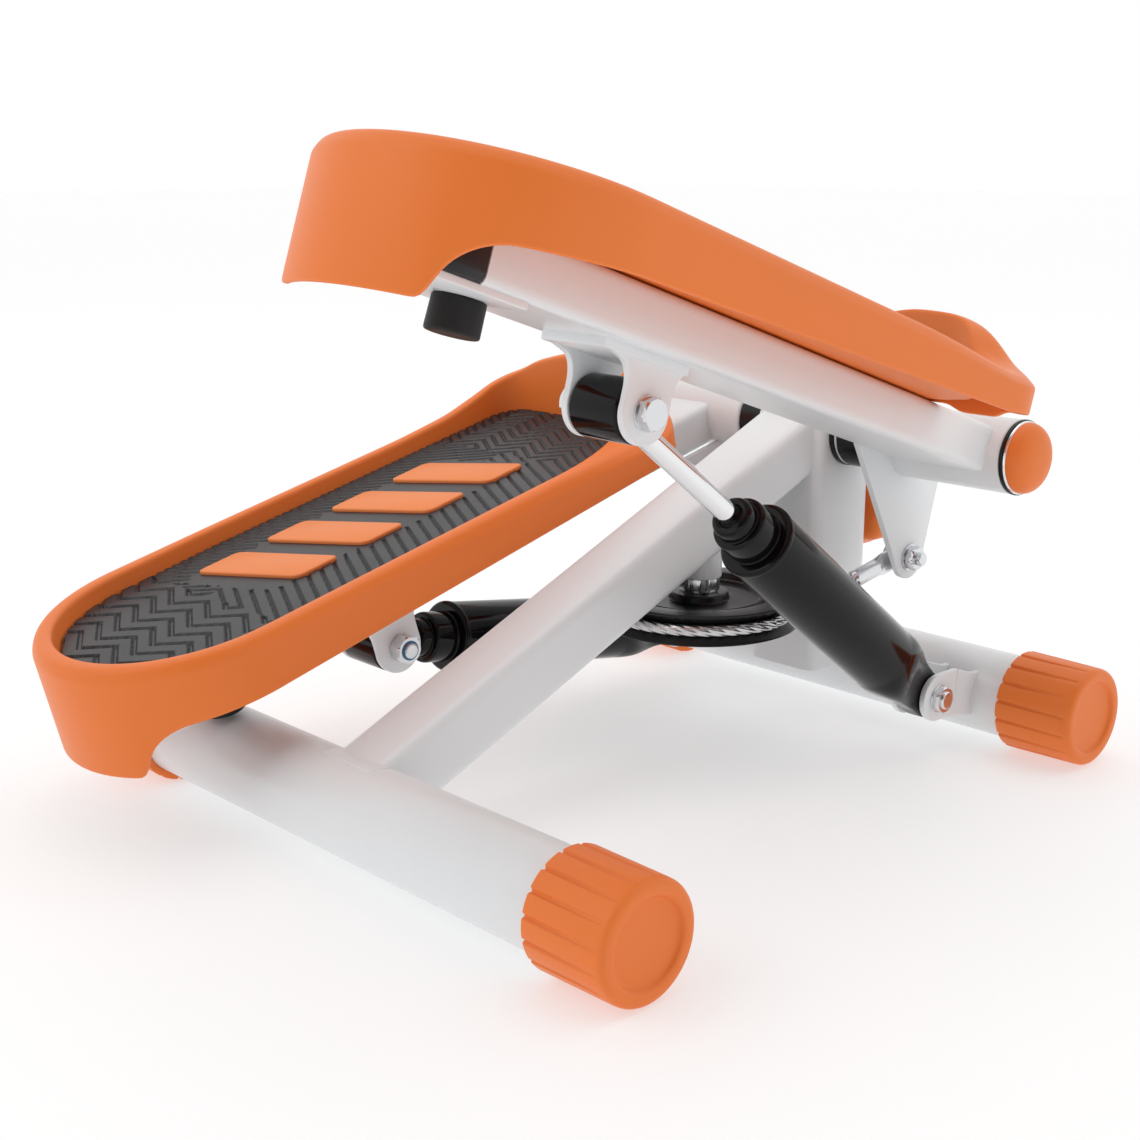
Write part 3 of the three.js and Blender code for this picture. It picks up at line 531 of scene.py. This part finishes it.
def pulley():
    """The wheel with its groove and hub, and the bolt, nut and boss that hold it."""
    low, high = span("pulley_wheel")
    rim = (high[0] - low[0]) / 2
    profile = [[-8.8, 5.4], [-8.8, 13], [-3.8, 13.6], [-3.8, 32], [-6.8, 33.5], [-6.8, rim], [-5.9, rim],
               [-2.4, 41.2], [0, 40.1], [2.4, 41.2], [5.9, rim], [6.8, rim], [6.8, 34.5], [3.6, 33.4],
               [3.6, 30], [5.2, 29.2], [5.2, 27.6], [3.6, 27], [3.6, 13.6], [6.8, 13], [6.8, 5.4]]
    replace("pulley_wheel", [turned(profile, z_axis(HUB), 160, 0.7)], PLASTIC, "pulley")
    place = z_axis(HUB * [1, 1, 0])
    low, high = span("pulley_bolt")
    bolt = [collar(low[2] + 1, high[2], CORE, 5, place, 48), hexagon(14, low[2], low[2] + 5, place)]
    replace("pulley_bolt", bolt, ZINC, "frame", 30)
    foot = span("pulley_nut")[0][2]
    nut = [hexagon(16.5, foot, foot + 8.5, place), collar(foot - 0.2, foot + 0.9, 5, 8.4, place, 64, 0.2)]
    replace("pulley_nut", nut, ZINC, "frame", 30)
    low, high = span("pulley_boss")
    replace("pulley_boss", [collar(low[2], high[2] + 4, 0.6, 10, place, 72, 0.8)], WHITE, "frame")


def cable_on_pulley():
    """Half a turn of rope in the groove, round the wheel's rear."""
    a = np.linspace(np.pi, 2 * np.pi, 220)
    height = np.full(len(a), HUB[2])
    arc = np.column_stack([CABLE_AT * np.cos(a), HUB[1] + CABLE_AT * np.sin(a), height])
    replace("cable_on_pulley", [rope(arc, CABLE_R)], WIRE, "frame")


def cable_run(side):
    """The rope leaves the groove straight ahead and then bends a little towards the pedal's bolt.
    A swaged ferrule round its end flattens into an eye: its two half axes go from the rope's
    size to a flat strip's over 7 mm."""
    name, body = SIDE[side], f"{SIDE[side]}_pedal"
    origin = pedal_frame(side, outwards(side, (0, 0, 0)))(np.array(CABLE_BOLT))
    start = np.array([side * CABLE_AT, HUB[1], HUB[2]])
    reach = np.linalg.norm(origin - start)
    along = (origin - start) / reach
    ferrule_from, held = reach - 33, 15
    t = np.linspace(0, 1, 200)[:, None]
    lead = (1 - smoothstep(t, 0.0, 0.3)) * t * 12 * (np.array([0, 1.0, 0]) - along)
    run = rope(start + t * (reach - 30) * along + lead, CABLE_R)

    s = np.linspace(ferrule_from, reach - 4, 60)[:, None]
    theta = angles(40)[None, :]
    squeeze = smoothstep(s, reach - 18, reach - 11)
    mouth = 3.0 + 0.9 * smoothstep(s, ferrule_from, ferrule_from + 1.5)
    thin = mouth * (1 - squeeze) + 2.0 * squeeze
    wide = mouth * (1 - squeeze) + 5.4 * squeeze
    local = np.stack([s + 0 * theta, thin * np.cos(theta), wide * np.sin(theta)], -1)
    ferrule = rings(axis_frame(start, along)(local))
    disc = collar(-2.1, 2.1, 3.2, 7, x_axis(origin), 64, 0.9)

    def metres(distance):
        return ((start + along * distance + [0, REAR_Y, 0]) * MM).tolist()

    follow = ("frame", body, metres(held), metres(ferrule_from))
    replace(f"cable_run_{name}", [run], WIRE, None, blend=follow)
    build(f"cable_ferrule_{name}", [ferrule, disc], ZINC, body)


# ---------------------------------------------------------------- pedals

SHELL_X, HALF_W, HEEL_U, TOE_U, RIM = 88.5, 63.0, 289.0, 54.0, 8.8
RIM_TOP, FLOOR_UNDER, FLOOR_TOP, MAT_TOP = 23.0, 10.4, 13.0, 16.0
ARM_X, ARM_W, ARM_H, ARM_END = 78.0, 48.0, 20.0, 303.5
MAT_ROWS, MAT_COLUMNS = 440, 186


def lookup(at, stops):
    """Height between the stops (position, height), easing in and out of each."""
    stops = np.array(stops, float)
    i = np.clip(np.searchsorted(stops[:, 0], at) - 1, 0, len(stops) - 2)
    t = np.clip((at - stops[i, 0]) / (stops[i + 1, 0] - stops[i, 0]), 0, 1)
    ease = 0.45 * t + 0.55 * t * t * (3 - 2 * t)
    return stops[i, 1] + (stops[i + 1, 1] - stops[i, 1]) * ease


def skirt(u):
    """Lower edge of the side skirt: it drops 6.6 mm evenly from the toe to the heel."""
    return 6.5 - (u - 75) * 6.6 / 214


def bend(low, high, count):
    """Degrees of a quarter bend, with their sine and cosine."""
    degrees = np.linspace(low, high, count)
    return degrees, np.sin(np.radians(degrees)), np.cos(np.radians(degrees))


def pedal_outline():
    """Round the pedal from the near toe corner: outer edge, edge of the opening, crest height and
    lower edge of the skirt. Straight sides join a half circle at the heel, where the skirt arches
    down, and a bowed toe under a raised brow."""
    parts = []

    def put(*columns):
        parts.append(np.column_stack(np.broadcast_arrays(*columns)).astype(float))

    # Near side.
    u = np.linspace(80, HEEL_U, 90)[:-1]
    pull = np.clip((140 - u) / 62, 0, 1)
    put(HALF_W, u, HALF_W - RIM - 13 * pull**2, u + 8 * pull, RIM_TOP - 1.5 * pull, skirt(u))
    # Heel.
    angle = np.linspace(0, np.pi, 150)
    off = np.abs(np.degrees(angle) - 90)
    base = skirt(HEEL_U) - (90 - off) * 0.07
    drop = 1 - np.sqrt(1 - np.clip((54 - off) / 21, 0, 1) ** 2)
    inner_r = HALF_W - RIM
    put(HALF_W * np.cos(angle), HEEL_U + HALF_W * np.sin(angle), inner_r * np.cos(angle),
        HEEL_U + inner_r * np.sin(angle), RIM_TOP, base + (-22.7 - base) * drop)
    # Far side, rising to the brow.
    u = np.linspace(HEEL_U, 74, 90)[1:]
    rise = [[60, 33], [76, 28], [102, 24], [132, RIM_TOP], [400, RIM_TOP]]
    widen = 1.5 * smoothstep(-u, -HEEL_U, -240)
    put(-HALF_W, u, -inner_r - widen, np.maximum(u, 76), lookup(u, rise), skirt(u))
    # Far toe corner.
    degrees, s, c = bend(5, 85, 22)
    put(-HALF_W + 18 - 18 * c, TOE_U + 18 - 18 * s, -HALF_W + 20 - 13 * c, TOE_U + 22 - 14.5 * s,
        29 + degrees * 0.075, skirt(TOE_U) + degrees / 28)
    # Toe, with the brow's crest over it. The wall stops above the arm and comes down beside it.
    x = np.linspace(-44, 40, 90)
    late = np.clip((x - 5) / 36, 0, 1)
    brow = [[-60, 33], [-45, 35.5], [-30, 42], [-8, 47], [11, 46.4], [26, 43.5], [34, 39.5], [45, 29],
            [66, 21.5]]
    beside_arm = smoothstep(x, 15, 24)
    put(x, TOE_U, x * (1 - 0.28 * late), TOE_U + 7 + 9 * late**2, lookup(x, brow),
        FLOOR_UNDER + (skirt(TOE_U) + 0.4 - FLOOR_UNDER) * beside_arm)
    # Near toe corner.
    degrees, s, c = bend(5, 85, 26)
    x = HALF_W - 22 + 22 * s
    put(x, TOE_U + 24 - 24 * c, 29.5 + 12 * s, TOE_U + 31 - 16 * c + degrees / 40,
        lookup(x, brow), skirt(TOE_U) + (90 - degrees) / 28)
    return softened(np.concatenate(parts), 520)


def softened(line, count):
    """The closed line resampled to even steps of its outer edge, each column then blurred by a
    bell of its own width in steps."""
    reach, widths = 12, np.array([2.2, 2.2, 3.4, 3.4, 3.6, 1.1])
    closed = np.vstack([line, line[:1]])
    travel = np.concatenate([[0], np.cumsum(np.linalg.norm(np.diff(closed[:, :2], axis=0), axis=1))])
    even = np.linspace(0, travel[-1], count, endpoint=False)
    line = np.column_stack([np.interp(even, travel, column) for column in closed.T])
    kernel = np.exp(-0.5 * (np.arange(-reach, reach + 1) / widths[:, None]) ** 2)
    kernel /= kernel.sum(1, keepdims=True)
    wrapped = np.vstack([line[-reach:], line, line[:reach]])
    return np.column_stack([np.convolve(column, k, "valid") for column, k in zip(wrapped.T, kernel)])


def shell_sections(outline):
    """The moulding's section at every station: floor, wall of the well, crest, outer chamfer,
    skirt, and back up inside it to the floor's underside."""
    outer, inner, height, lower = outline[:, :2], outline[:, 2:4], outline[:, 4], outline[:, 5]
    tangent = np.roll(outer, -1, 0) - np.roll(outer, 1, 0)
    inward = np.column_stack([-tangent[:, 1], tangent[:, 0]])
    inward /= np.linalg.norm(inward, axis=1, keepdims=True)

    def across(share, w):
        return lifted(outer + (inner - outer) * share, w)

    def lifted(xu, w):
        return np.column_stack([xu, np.broadcast_to(w, len(xu))])

    path = [across(1.22, FLOOR_TOP), across(1.14, FLOOR_TOP), across(1.0, height - 1.0),
            across(0.84, height), across(0.38, height), across(0.18, height - 1.4),
            lifted(outer, height - 4.6), lifted(outer, lower), lifted(outer + inward * 2.4, lower),
            lifted(outer + inward * 2.6, height - 8), across(0.72, height - 5),
            across(0.95, FLOOR_UNDER), across(1.2, FLOOR_UNDER)]
    radius = np.array([0, 1.5, 1.6, 2.2, 2.6, 1.2, 1.4, 0.9, 0.7, 2, 2, 1.2, 0])
    return np.swapaxes(rounded(np.stack(path, 1), radius), 0, 1)


def groove(phase, pitch, width, depth):
    """Parallel grooves with soft edges, one where the phase passes each half pitch."""
    away = np.abs((phase / pitch) % 1 - 0.5) * pitch
    return -depth * (1 - smoothstep(away, width / 2 - 0.25, width / 2 + 0.25))


def tread_height(x, u):
    """Height of the tread over its plain face. Grooves run along u - x/2 on the near half and
    along u + 0.6 x on the far half. At both ends they fold into zigzag rows 14 mm wide. A plain
    band with stepped ends carries the inlay."""
    row = np.abs(((x + 59) % 28) - 14)
    heel = groove(u + 0.62 * row, 8.6, 2.3, 1.0)
    toe = groove(u + 0.62 * row, 5.4, 1.7, 0.9)
    near = groove(u - 0.5 * x, 6.6, 1.5, 0.9)
    far = groove(u + 0.6 * x, 4.3, 1.9, 0.9)
    shift = 0.3 * np.floor(x / 6) * 6
    band = (np.abs(x + 8) < 25 + 2 * np.sin(u * 0.9)) & (u > 119 - shift) & (u < 264 - shift)
    waist = np.where(band, 0, np.where(x > -8, near, far))
    return np.where(u > 276, heel, np.where(u < 112, toe, waist))


def tread_surface(outline):
    """The mat as rows across the well: each row runs between the well's walls at that distance
    from the axle, and its points are lowered by the grooves. A skirt all round reaches down to
    the shell's floor, and one flat face closes the underside."""
    outer, inner = outline[:, :2], outline[:, 2:4]
    gap = inner - outer
    edge = outer + gap * (1.14 + 0.7 / np.linalg.norm(gap, axis=1, keepdims=True))
    last, first = edge[:, 1].argmax(), edge[:, 1].argmin()
    loop = np.roll(edge, -last, 0)
    cut = (first - last) % len(edge)
    left, right = loop[:cut + 1], np.vstack([loop[cut:], loop[:1]])
    u = np.linspace(edge[first, 1] + 0.12, edge[last, 1] - 0.12, MAT_ROWS)
    x_left = np.interp(u, left[::-1, 1], left[::-1, 0])[:, None]
    x_right = np.interp(u, right[:, 1], right[:, 0])[:, None]
    x = x_left + (x_right - x_left) * np.linspace(0, 1, MAT_COLUMNS)
    u = u[:, None] + 0 * x
    surface = np.stack([x, u, MAT_TOP + tread_height(x, u)], -1)
    grid = np.pad(surface, ((1, 1), (1, 1), (0, 0)), "edge")
    for border in (grid[0], grid[-1], grid[:, 0], grid[:, -1]):
        border[:, 2] = FLOOR_TOP + 0.3
    m, n = grid.shape[:2]
    i, j = np.meshgrid(np.arange(m - 1), np.arange(n - 1), indexing="ij")
    quads = np.stack([i * n + j, i * n + j + 1, (i + 1) * n + j + 1, (i + 1) * n + j], -1).reshape(-1, 4)
    number = np.arange(m * n).reshape(m, n)
    rim = np.concatenate([number[0], number[1:, -1], number[-1, -2::-1], number[-2:0:-1, 0]])
    return grid.reshape(-1, 3), quads, [rim[::-1]]


OUTLINE = pedal_outline()
SHELL = shell_sections(OUTLINE)
MAT_POINTS, MAT_QUADS, MAT_RIM = tread_surface(OUTLINE)


def shell_and_tread(side):
    """The moulding, its mat, and four slanted bars standing out of the mat's plain band."""
    name, body = SIDE[side], f"{SIDE[side]}_pedal"
    centre = [side * SHELL_X, 0, 0]
    place = pedal_frame(side, x_axis(centre))
    replace(f"pedal_shell_{name}", [rings(place(SHELL))], ORANGE, body, 50)
    mat = (place(MAT_POINTS), MAT_QUADS, MAT_RIM)
    build(f"tread_{name}", [mat], TREAD, body, f"tread_mat_{name}", 28)
    bars = []
    for k in range(4):
        u = 134.0 + 35.5 * k
        corners = [[-33, u + 3], [17, u - 15], [17, u + 7], [-33, u + 25]]
        bar = rounded(corners, 4, 6, closed=True)
        bars.append(slab(bar, MAT_TOP - 1.2, MAT_TOP + 1.5, 0.8, pedal_frame(side, z_axis(centre))))
    build(f"tread_inlay_{name}", bars, INLAY, body)


def pedal_arm(side):
    """A rectangular tube from the axle to the heel, closed by a plug with a rounded end."""
    name, body = SIDE[side], f"{SIDE[side]}_pedal"
    place = pedal_frame(side, y_axis([side * ARM_X, 0, 0]))
    arm = beam(ARM_W, ARM_H, 4.2, [(4, 0), (ARM_END, 0)], place)
    replace(f"pedal_arm_{name}", [arm], WHITE, body)
    stations = [(303.6, 0.5), (304.3, 0), (329, 0), (331.6, 0.8), (333.2, 2.4), (333.8, 4.5)]
    replace(f"arm_end_plug_{name}", [beam(ARM_W, ARM_H, 4.2, stations, place)], PLASTIC, body)


def axle_end(side):
    """Sleeve, black washer, bright ring and a domed cap, whose radius falls as cos^0.72 while it
    rises as sin^0.9 of the same angle."""
    name, body = SIDE[side], f"{SIDE[side]}_pedal"
    place = outwards(side, AXLE_LINE)
    replace(f"pivot_sleeve_{name}", [collar(35, 108.7, BORE, 16, place, 112, 1.6)], WHITE, body)
    replace(f"end_washer_{name}", [collar(108.4, 110.7, BORE, 16.2, place, 112, 0.8)], PLASTIC, body)
    ring = turned([[110.2, BORE], [110.2, 15.9], [111.4, 15.5], [111.4, BORE]], place, 112, 0.5)
    build(f"end_ring_{name}", [ring], CHROME, body)
    base, rise, radius = 111.2, 8.3, 15.2
    angle = np.linspace(0.0, 1.0, 14)[1:] * math.pi / 2
    reach = np.maximum(radius * np.clip(np.cos(angle), 0, 1) ** 0.72, CORE)
    dome = np.column_stack([base + rise * np.sin(angle) ** 0.9, reach])
    profile = np.vstack([[[base, CORE], [base, radius]], dome])
    replace(f"axle_cap_{name}", [turned(profile, place, 96, 0.4)], ORANGE, body)


def bumper(side):
    """A plate under the arm's heel end and the rubber foot on it."""
    name, body = SIDE[side], f"{SIDE[side]}_pedal"
    on_arm = pedal_frame(side, z_axis([side * ARM_X, 0, 0]))
    plate = slab(rectangle(22, 281, 333, 4), -12.1, -9.4, 0.5, on_arm)
    replace(f"bumper_plate_{name}", [plate], WHITE, body)
    profile = [[-12.0, CORE], [-12.0, 9.0], [-23.6, 9.2], [-24.0, 8.2], [-24.0, CORE]]
    foot = turned(profile, pedal_frame(side, z_axis([side * ARM_X, 292, 0])), 72, 0.9)
    replace(f"bumper_{name}", [foot], RUBBER, body)


def clevis(side):
    """A flange and two waisted ears with rounded ends, and the bolt through them."""
    name, body = SIDE[side], f"{SIDE[side]}_pedal"
    bolt_u, bolt_w, ear_r, ear_x = 213, -30, 11.4, 13.8
    turn = np.linspace(math.radians(-5), math.radians(185), 40)
    rear = [[240, -12.6], [235, -13.6], [227.5, -15.5], [224.6, -21], [224.4, -29]]
    front = [[201.6, -29], [202.2, -22], [201.6, -16.5], [198.6, -13.4], [197.5, -12.6]]
    end = np.column_stack([bolt_u + ear_r * np.cos(turn), bolt_w - ear_r * np.sin(turn)])
    ear = np.vstack([rounded(rear, [0, 2, 5, 5, 0])[:-5], end, rounded(front, [0, 4, 4, 2, 0])[5:]])
    place = pedal_frame(side, x_axis([side * ARM_X, 0, 0]))
    shapes = [slab(ear, x - PLATE_HALF, x + PLATE_HALF, 0.5, place) for x in (ear_x, -ear_x)]
    on_arm = pedal_frame(side, z_axis([side * ARM_X, 0, 0]))
    shapes.append(slab(rectangle(15.9, 196.8, 241, 2), -13.4, -9.4, 0.6, on_arm))
    replace(f"clevis_{name}", shapes, WHITE, body)
    at = pedal_frame(side, outwards(side, [side * ARM_X, bolt_u, bolt_w]))
    bolt = [collar(-23.6, 16, CORE, 3.4, at, 40, 0.8), hexagon(11, 15.6, 20.1, at),
            collar(15.3, 15.9, 3, 6.4, at, 56, 0.2)]
    replace(f"clevis_bolt_{name}", bolt, ZINC, body, 30)
    replace(f"clevis_nut_{name}", [hexagon(11.4, -22.2, -15.6, at)], ZINC, body, 30)
    build(f"nut_ring_{name}", [collar(-22.7, -21.8, 3.5, 4.3, at, 56, 0.5)], NYLON, body)


def cable_bracket(side):
    """A tapering plate that hangs from the arm's inner face and holds the cable's bolt."""
    name, body = SIDE[side], f"{SIDE[side]}_pedal"
    bolt_u, bolt_w = CABLE_BOLT[1:]
    plate_x, end_r = side * 52.2, 10
    turn = np.linspace(math.radians(225), math.radians(372), 36)
    end = np.column_stack([bolt_u - end_r * np.cos(turn), bolt_w + end_r * np.sin(turn)])
    hanger = np.vstack([[[38, -9]], end, [[-28, -9]]])
    place = pedal_frame(side, x_axis())
    plate = slab(hanger, plate_x - PLATE_HALF, plate_x + PLATE_HALF, 0.5, place)
    replace(f"cable_bracket_{name}", [plate], WHITE, body)
    at = pedal_frame(side, outwards(side, [0, bolt_u, bolt_w]))
    bolt = [collar(43, 61.3, CORE, 3, at, 40, 0.7), hexagon(9, 42.1, 45.4, at),
            hexagon(10, 54.6, 58.6, at), collar(53.9, 54.5, 3, 6.2, at, 48, 0.2)]
    replace(f"cable_bolt_{name}", bolt, ZINC, body, 30)


# ---------------------------------------------------------------- hydraulic cylinders


def cylinder_foot(place):
    """The foot changes from a flat rounded eye to the barrel's circle: its section is the curve
    |x/thick|^n + |y/wide|^n = 1, whose power n falls from 6 to 2 as it grows."""
    eye_r, barrel_r = 10, 15.5
    tip = -eye_r * np.cos(np.linspace(0.12, np.pi / 2, 14))
    s = np.concatenate([tip, np.linspace(1, 44, 44)])[:, None]
    grow = smoothstep(s, 9, 42)
    round_tip = np.sqrt(np.clip(eye_r**2 - s**2, 0, None))
    wide = np.where(s < 0, round_tip, eye_r + (barrel_r - eye_r) * smoothstep(s, 2, 40))
    thick = 6 + (barrel_r - 6) * grow
    power = 2 / (6 - 4 * grow)
    theta = angles(96)
    c, d = np.cos(theta), np.sin(theta)
    x, a = np.sign(c) * np.abs(c) ** power, np.sign(d) * np.abs(d) ** power
    return rings(place(np.stack([s + 0 * theta, thick * x, wide * a], -1)))


def cylinder(side):
    """Body, gland, rolled seam, rod and the bush at the rod's far end. s runs from the lower bolt
    towards the bush's bolt."""
    name = SIDE[side]
    body, rod_body = f"{name}_cylinder", f"{name}_rod"
    origin = joint_point(f"{name}_cylinder_swing")
    axis = np.array(JOINT[f"{name}_rod_slide"]["axis"], float)
    place = axis_frame(origin, axis)
    reach = middle(f"rod_bush_{name}") - [0, REAR_Y, 0] - origin
    length = float(np.linalg.norm(reach[1:]))
    barrel = turned([[40, 14], [40, 15.5], [144.6, 15.5], [146, 14.4], [146, CORE]], place, 112, 1.0)
    replace(f"cylinder_body_{name}", [cylinder_foot(place), barrel], GLOSS, body, 34)
    gland = [[145, 12.2], [147, 12.2], [147, 11.0], [148.6, 10.6], [148.6, 11.4], [159, 11.4], [160, 10.8],
             [160, 8.7], [164.6, 8.6], [166, 7.6], [166, 5.6], [164.6, 4.6], [164.6, CORE]]
    replace(f"cylinder_gland_{name}", [turned(gland, place, 96, 0.6)], GLOSS, body, 34)
    seam = [[144.2, 14.6], [144.2, 15.9], [146.2, 15.9], [147.0, 14.6], [147.0, 12.2]]
    build(f"cylinder_seam_{name}", [turned(seam, place, 96, 0.7)], GLOSS, body)
    rod = collar(length - 141.5, length - 9, CORE, 4.25, place, 56, 0.5)
    replace(f"piston_rod_{name}", [rod], CHROME, rod_body)
    profile = [[-12, BORE], [-12, 10.6], [-11.2, 11.5], [11.2, 11.5], [12, 10.6], [12, BORE]]
    bush = turned(profile, axis_frame(origin, axis, y_axis([length, 0, 0])), 96, 0.8)
    replace(f"rod_bush_{name}", [bush], GLOSS, rod_body)


# ---------------------------------------------------------------- floor, light, camera


def floor():
    """Pale paper, with some light of its own so that the shade under the machine stays soft."""
    half = 9.0
    mesh = bpy.data.meshes.new("floor")
    corners = [(-half, -half, 0), (half, -half, 0), (half, half, 0), (-half, half, 0)]
    mesh.from_pydata(corners, [], [(0, 1, 2, 3)])
    paper = bpy.data.materials.new("floor paper")
    paper.use_nodes = True
    sockets = paper.node_tree.nodes["Principled BSDF"].inputs
    sockets["Base Color"].default_value = (0.53, 0.53, 0.53, 1)
    sockets["Roughness"].default_value = 0.6
    sockets["Specular IOR Level"].default_value = 0.1
    sockets["Emission Color"].default_value = (1, 1, 1, 1)
    sockets["Emission Strength"].default_value = 0.5
    mesh.materials.append(paper)
    sheet = bpy.data.objects.new("floor", mesh)
    sheet.location.z = -0.0002
    bpy.context.scene.collection.objects.link(sheet)


def studio_world():
    """White all round, with one soft dark screen high on the camera's side for the black and the
    chrome to show: white fades to dark as the direction nears the screen's."""
    world = bpy.data.worlds.new("studio")
    world.use_nodes = True
    nodes, link = world.node_tree.nodes, world.node_tree.links.new
    heading = nodes.new("ShaderNodeTexCoord")
    toward = nodes.new("ShaderNodeVectorMath")
    toward.operation = "DOT_PRODUCT"
    toward.inputs[1].default_value = (0.55, -0.53, 0.645)
    screen = nodes.new("ShaderNodeMapRange")
    screen.interpolation_type = "SMOOTHSTEP"
    for socket, value in (("From Min", 0.72), ("From Max", 0.93), ("To Min", 1.0), ("To Max", 0.12)):
        screen.inputs[socket].default_value = value
    link(heading.outputs["Generated"], toward.inputs[0])
    link(toward.outputs["Value"], screen.inputs["Value"])
    link(screen.outputs["Result"], nodes["Background"].inputs["Color"])
    nodes["Background"].inputs["Strength"].default_value = 1.0
    bpy.context.scene.world = world


def lamp(name, location, aim, width, height, power):
    data = bpy.data.lights.new(name, "AREA")
    data.shape, data.size, data.size_y, data.energy = "RECTANGLE", width, height, power
    item = bpy.data.objects.new(name, data)
    item.location = location
    direction = np.array(aim, float) - np.array(location, float)
    yaw = math.atan2(direction[1], direction[0])
    tilt = math.atan2(direction[2], math.hypot(direction[0], direction[1]))
    item.rotation_euler = Euler((math.pi / 2 + tilt, 0, yaw - math.pi / 2), "XYZ")
    bpy.context.scene.collection.objects.link(item)


def camera():
    scene = bpy.context.scene
    azimuth, elevation, roll = math.radians(46.53), math.radians(14.05), math.radians(0.2)
    item = bpy.data.objects.new("camera", bpy.data.cameras.new("camera"))
    item.data.sensor_width = 36
    item.data.lens = 53.36
    item.location = (0.4900, -0.35184 + REAR_Y * MM, 0.26421)
    aim = Euler((math.pi / 2 - elevation, 0, azimuth)).to_matrix()
    item.rotation_euler = (aim @ Matrix.Rotation(roll, 3, "Z")).to_euler()
    scene.collection.objects.link(item)
    scene.camera = item
    scene.view_settings.view_transform = "Standard"


base_tubes()
strut()
upright_post()
axle()
for side in (1, -1):
    cylinder_bracket(side)
adjusting_knob()
pulley()
cable_on_pulley()
for side in (1, -1):
    cable_run(side)
for side in (1, -1):
    shell_and_tread(side)
    pedal_arm(side)
    axle_end(side)
    bumper(side)
    clevis(side)
    cable_bracket(side)
    cylinder(side)

floor()
studio_world()
lamp("key light", (-0.5, -1.5, 1.5), (0, 0, 0.1), 1.2, 1.0, 5)
lamp("top light", (0.1, 0.3, 1.9), (0, 0, 0.1), 1.6, 1.6, 5)
camera()
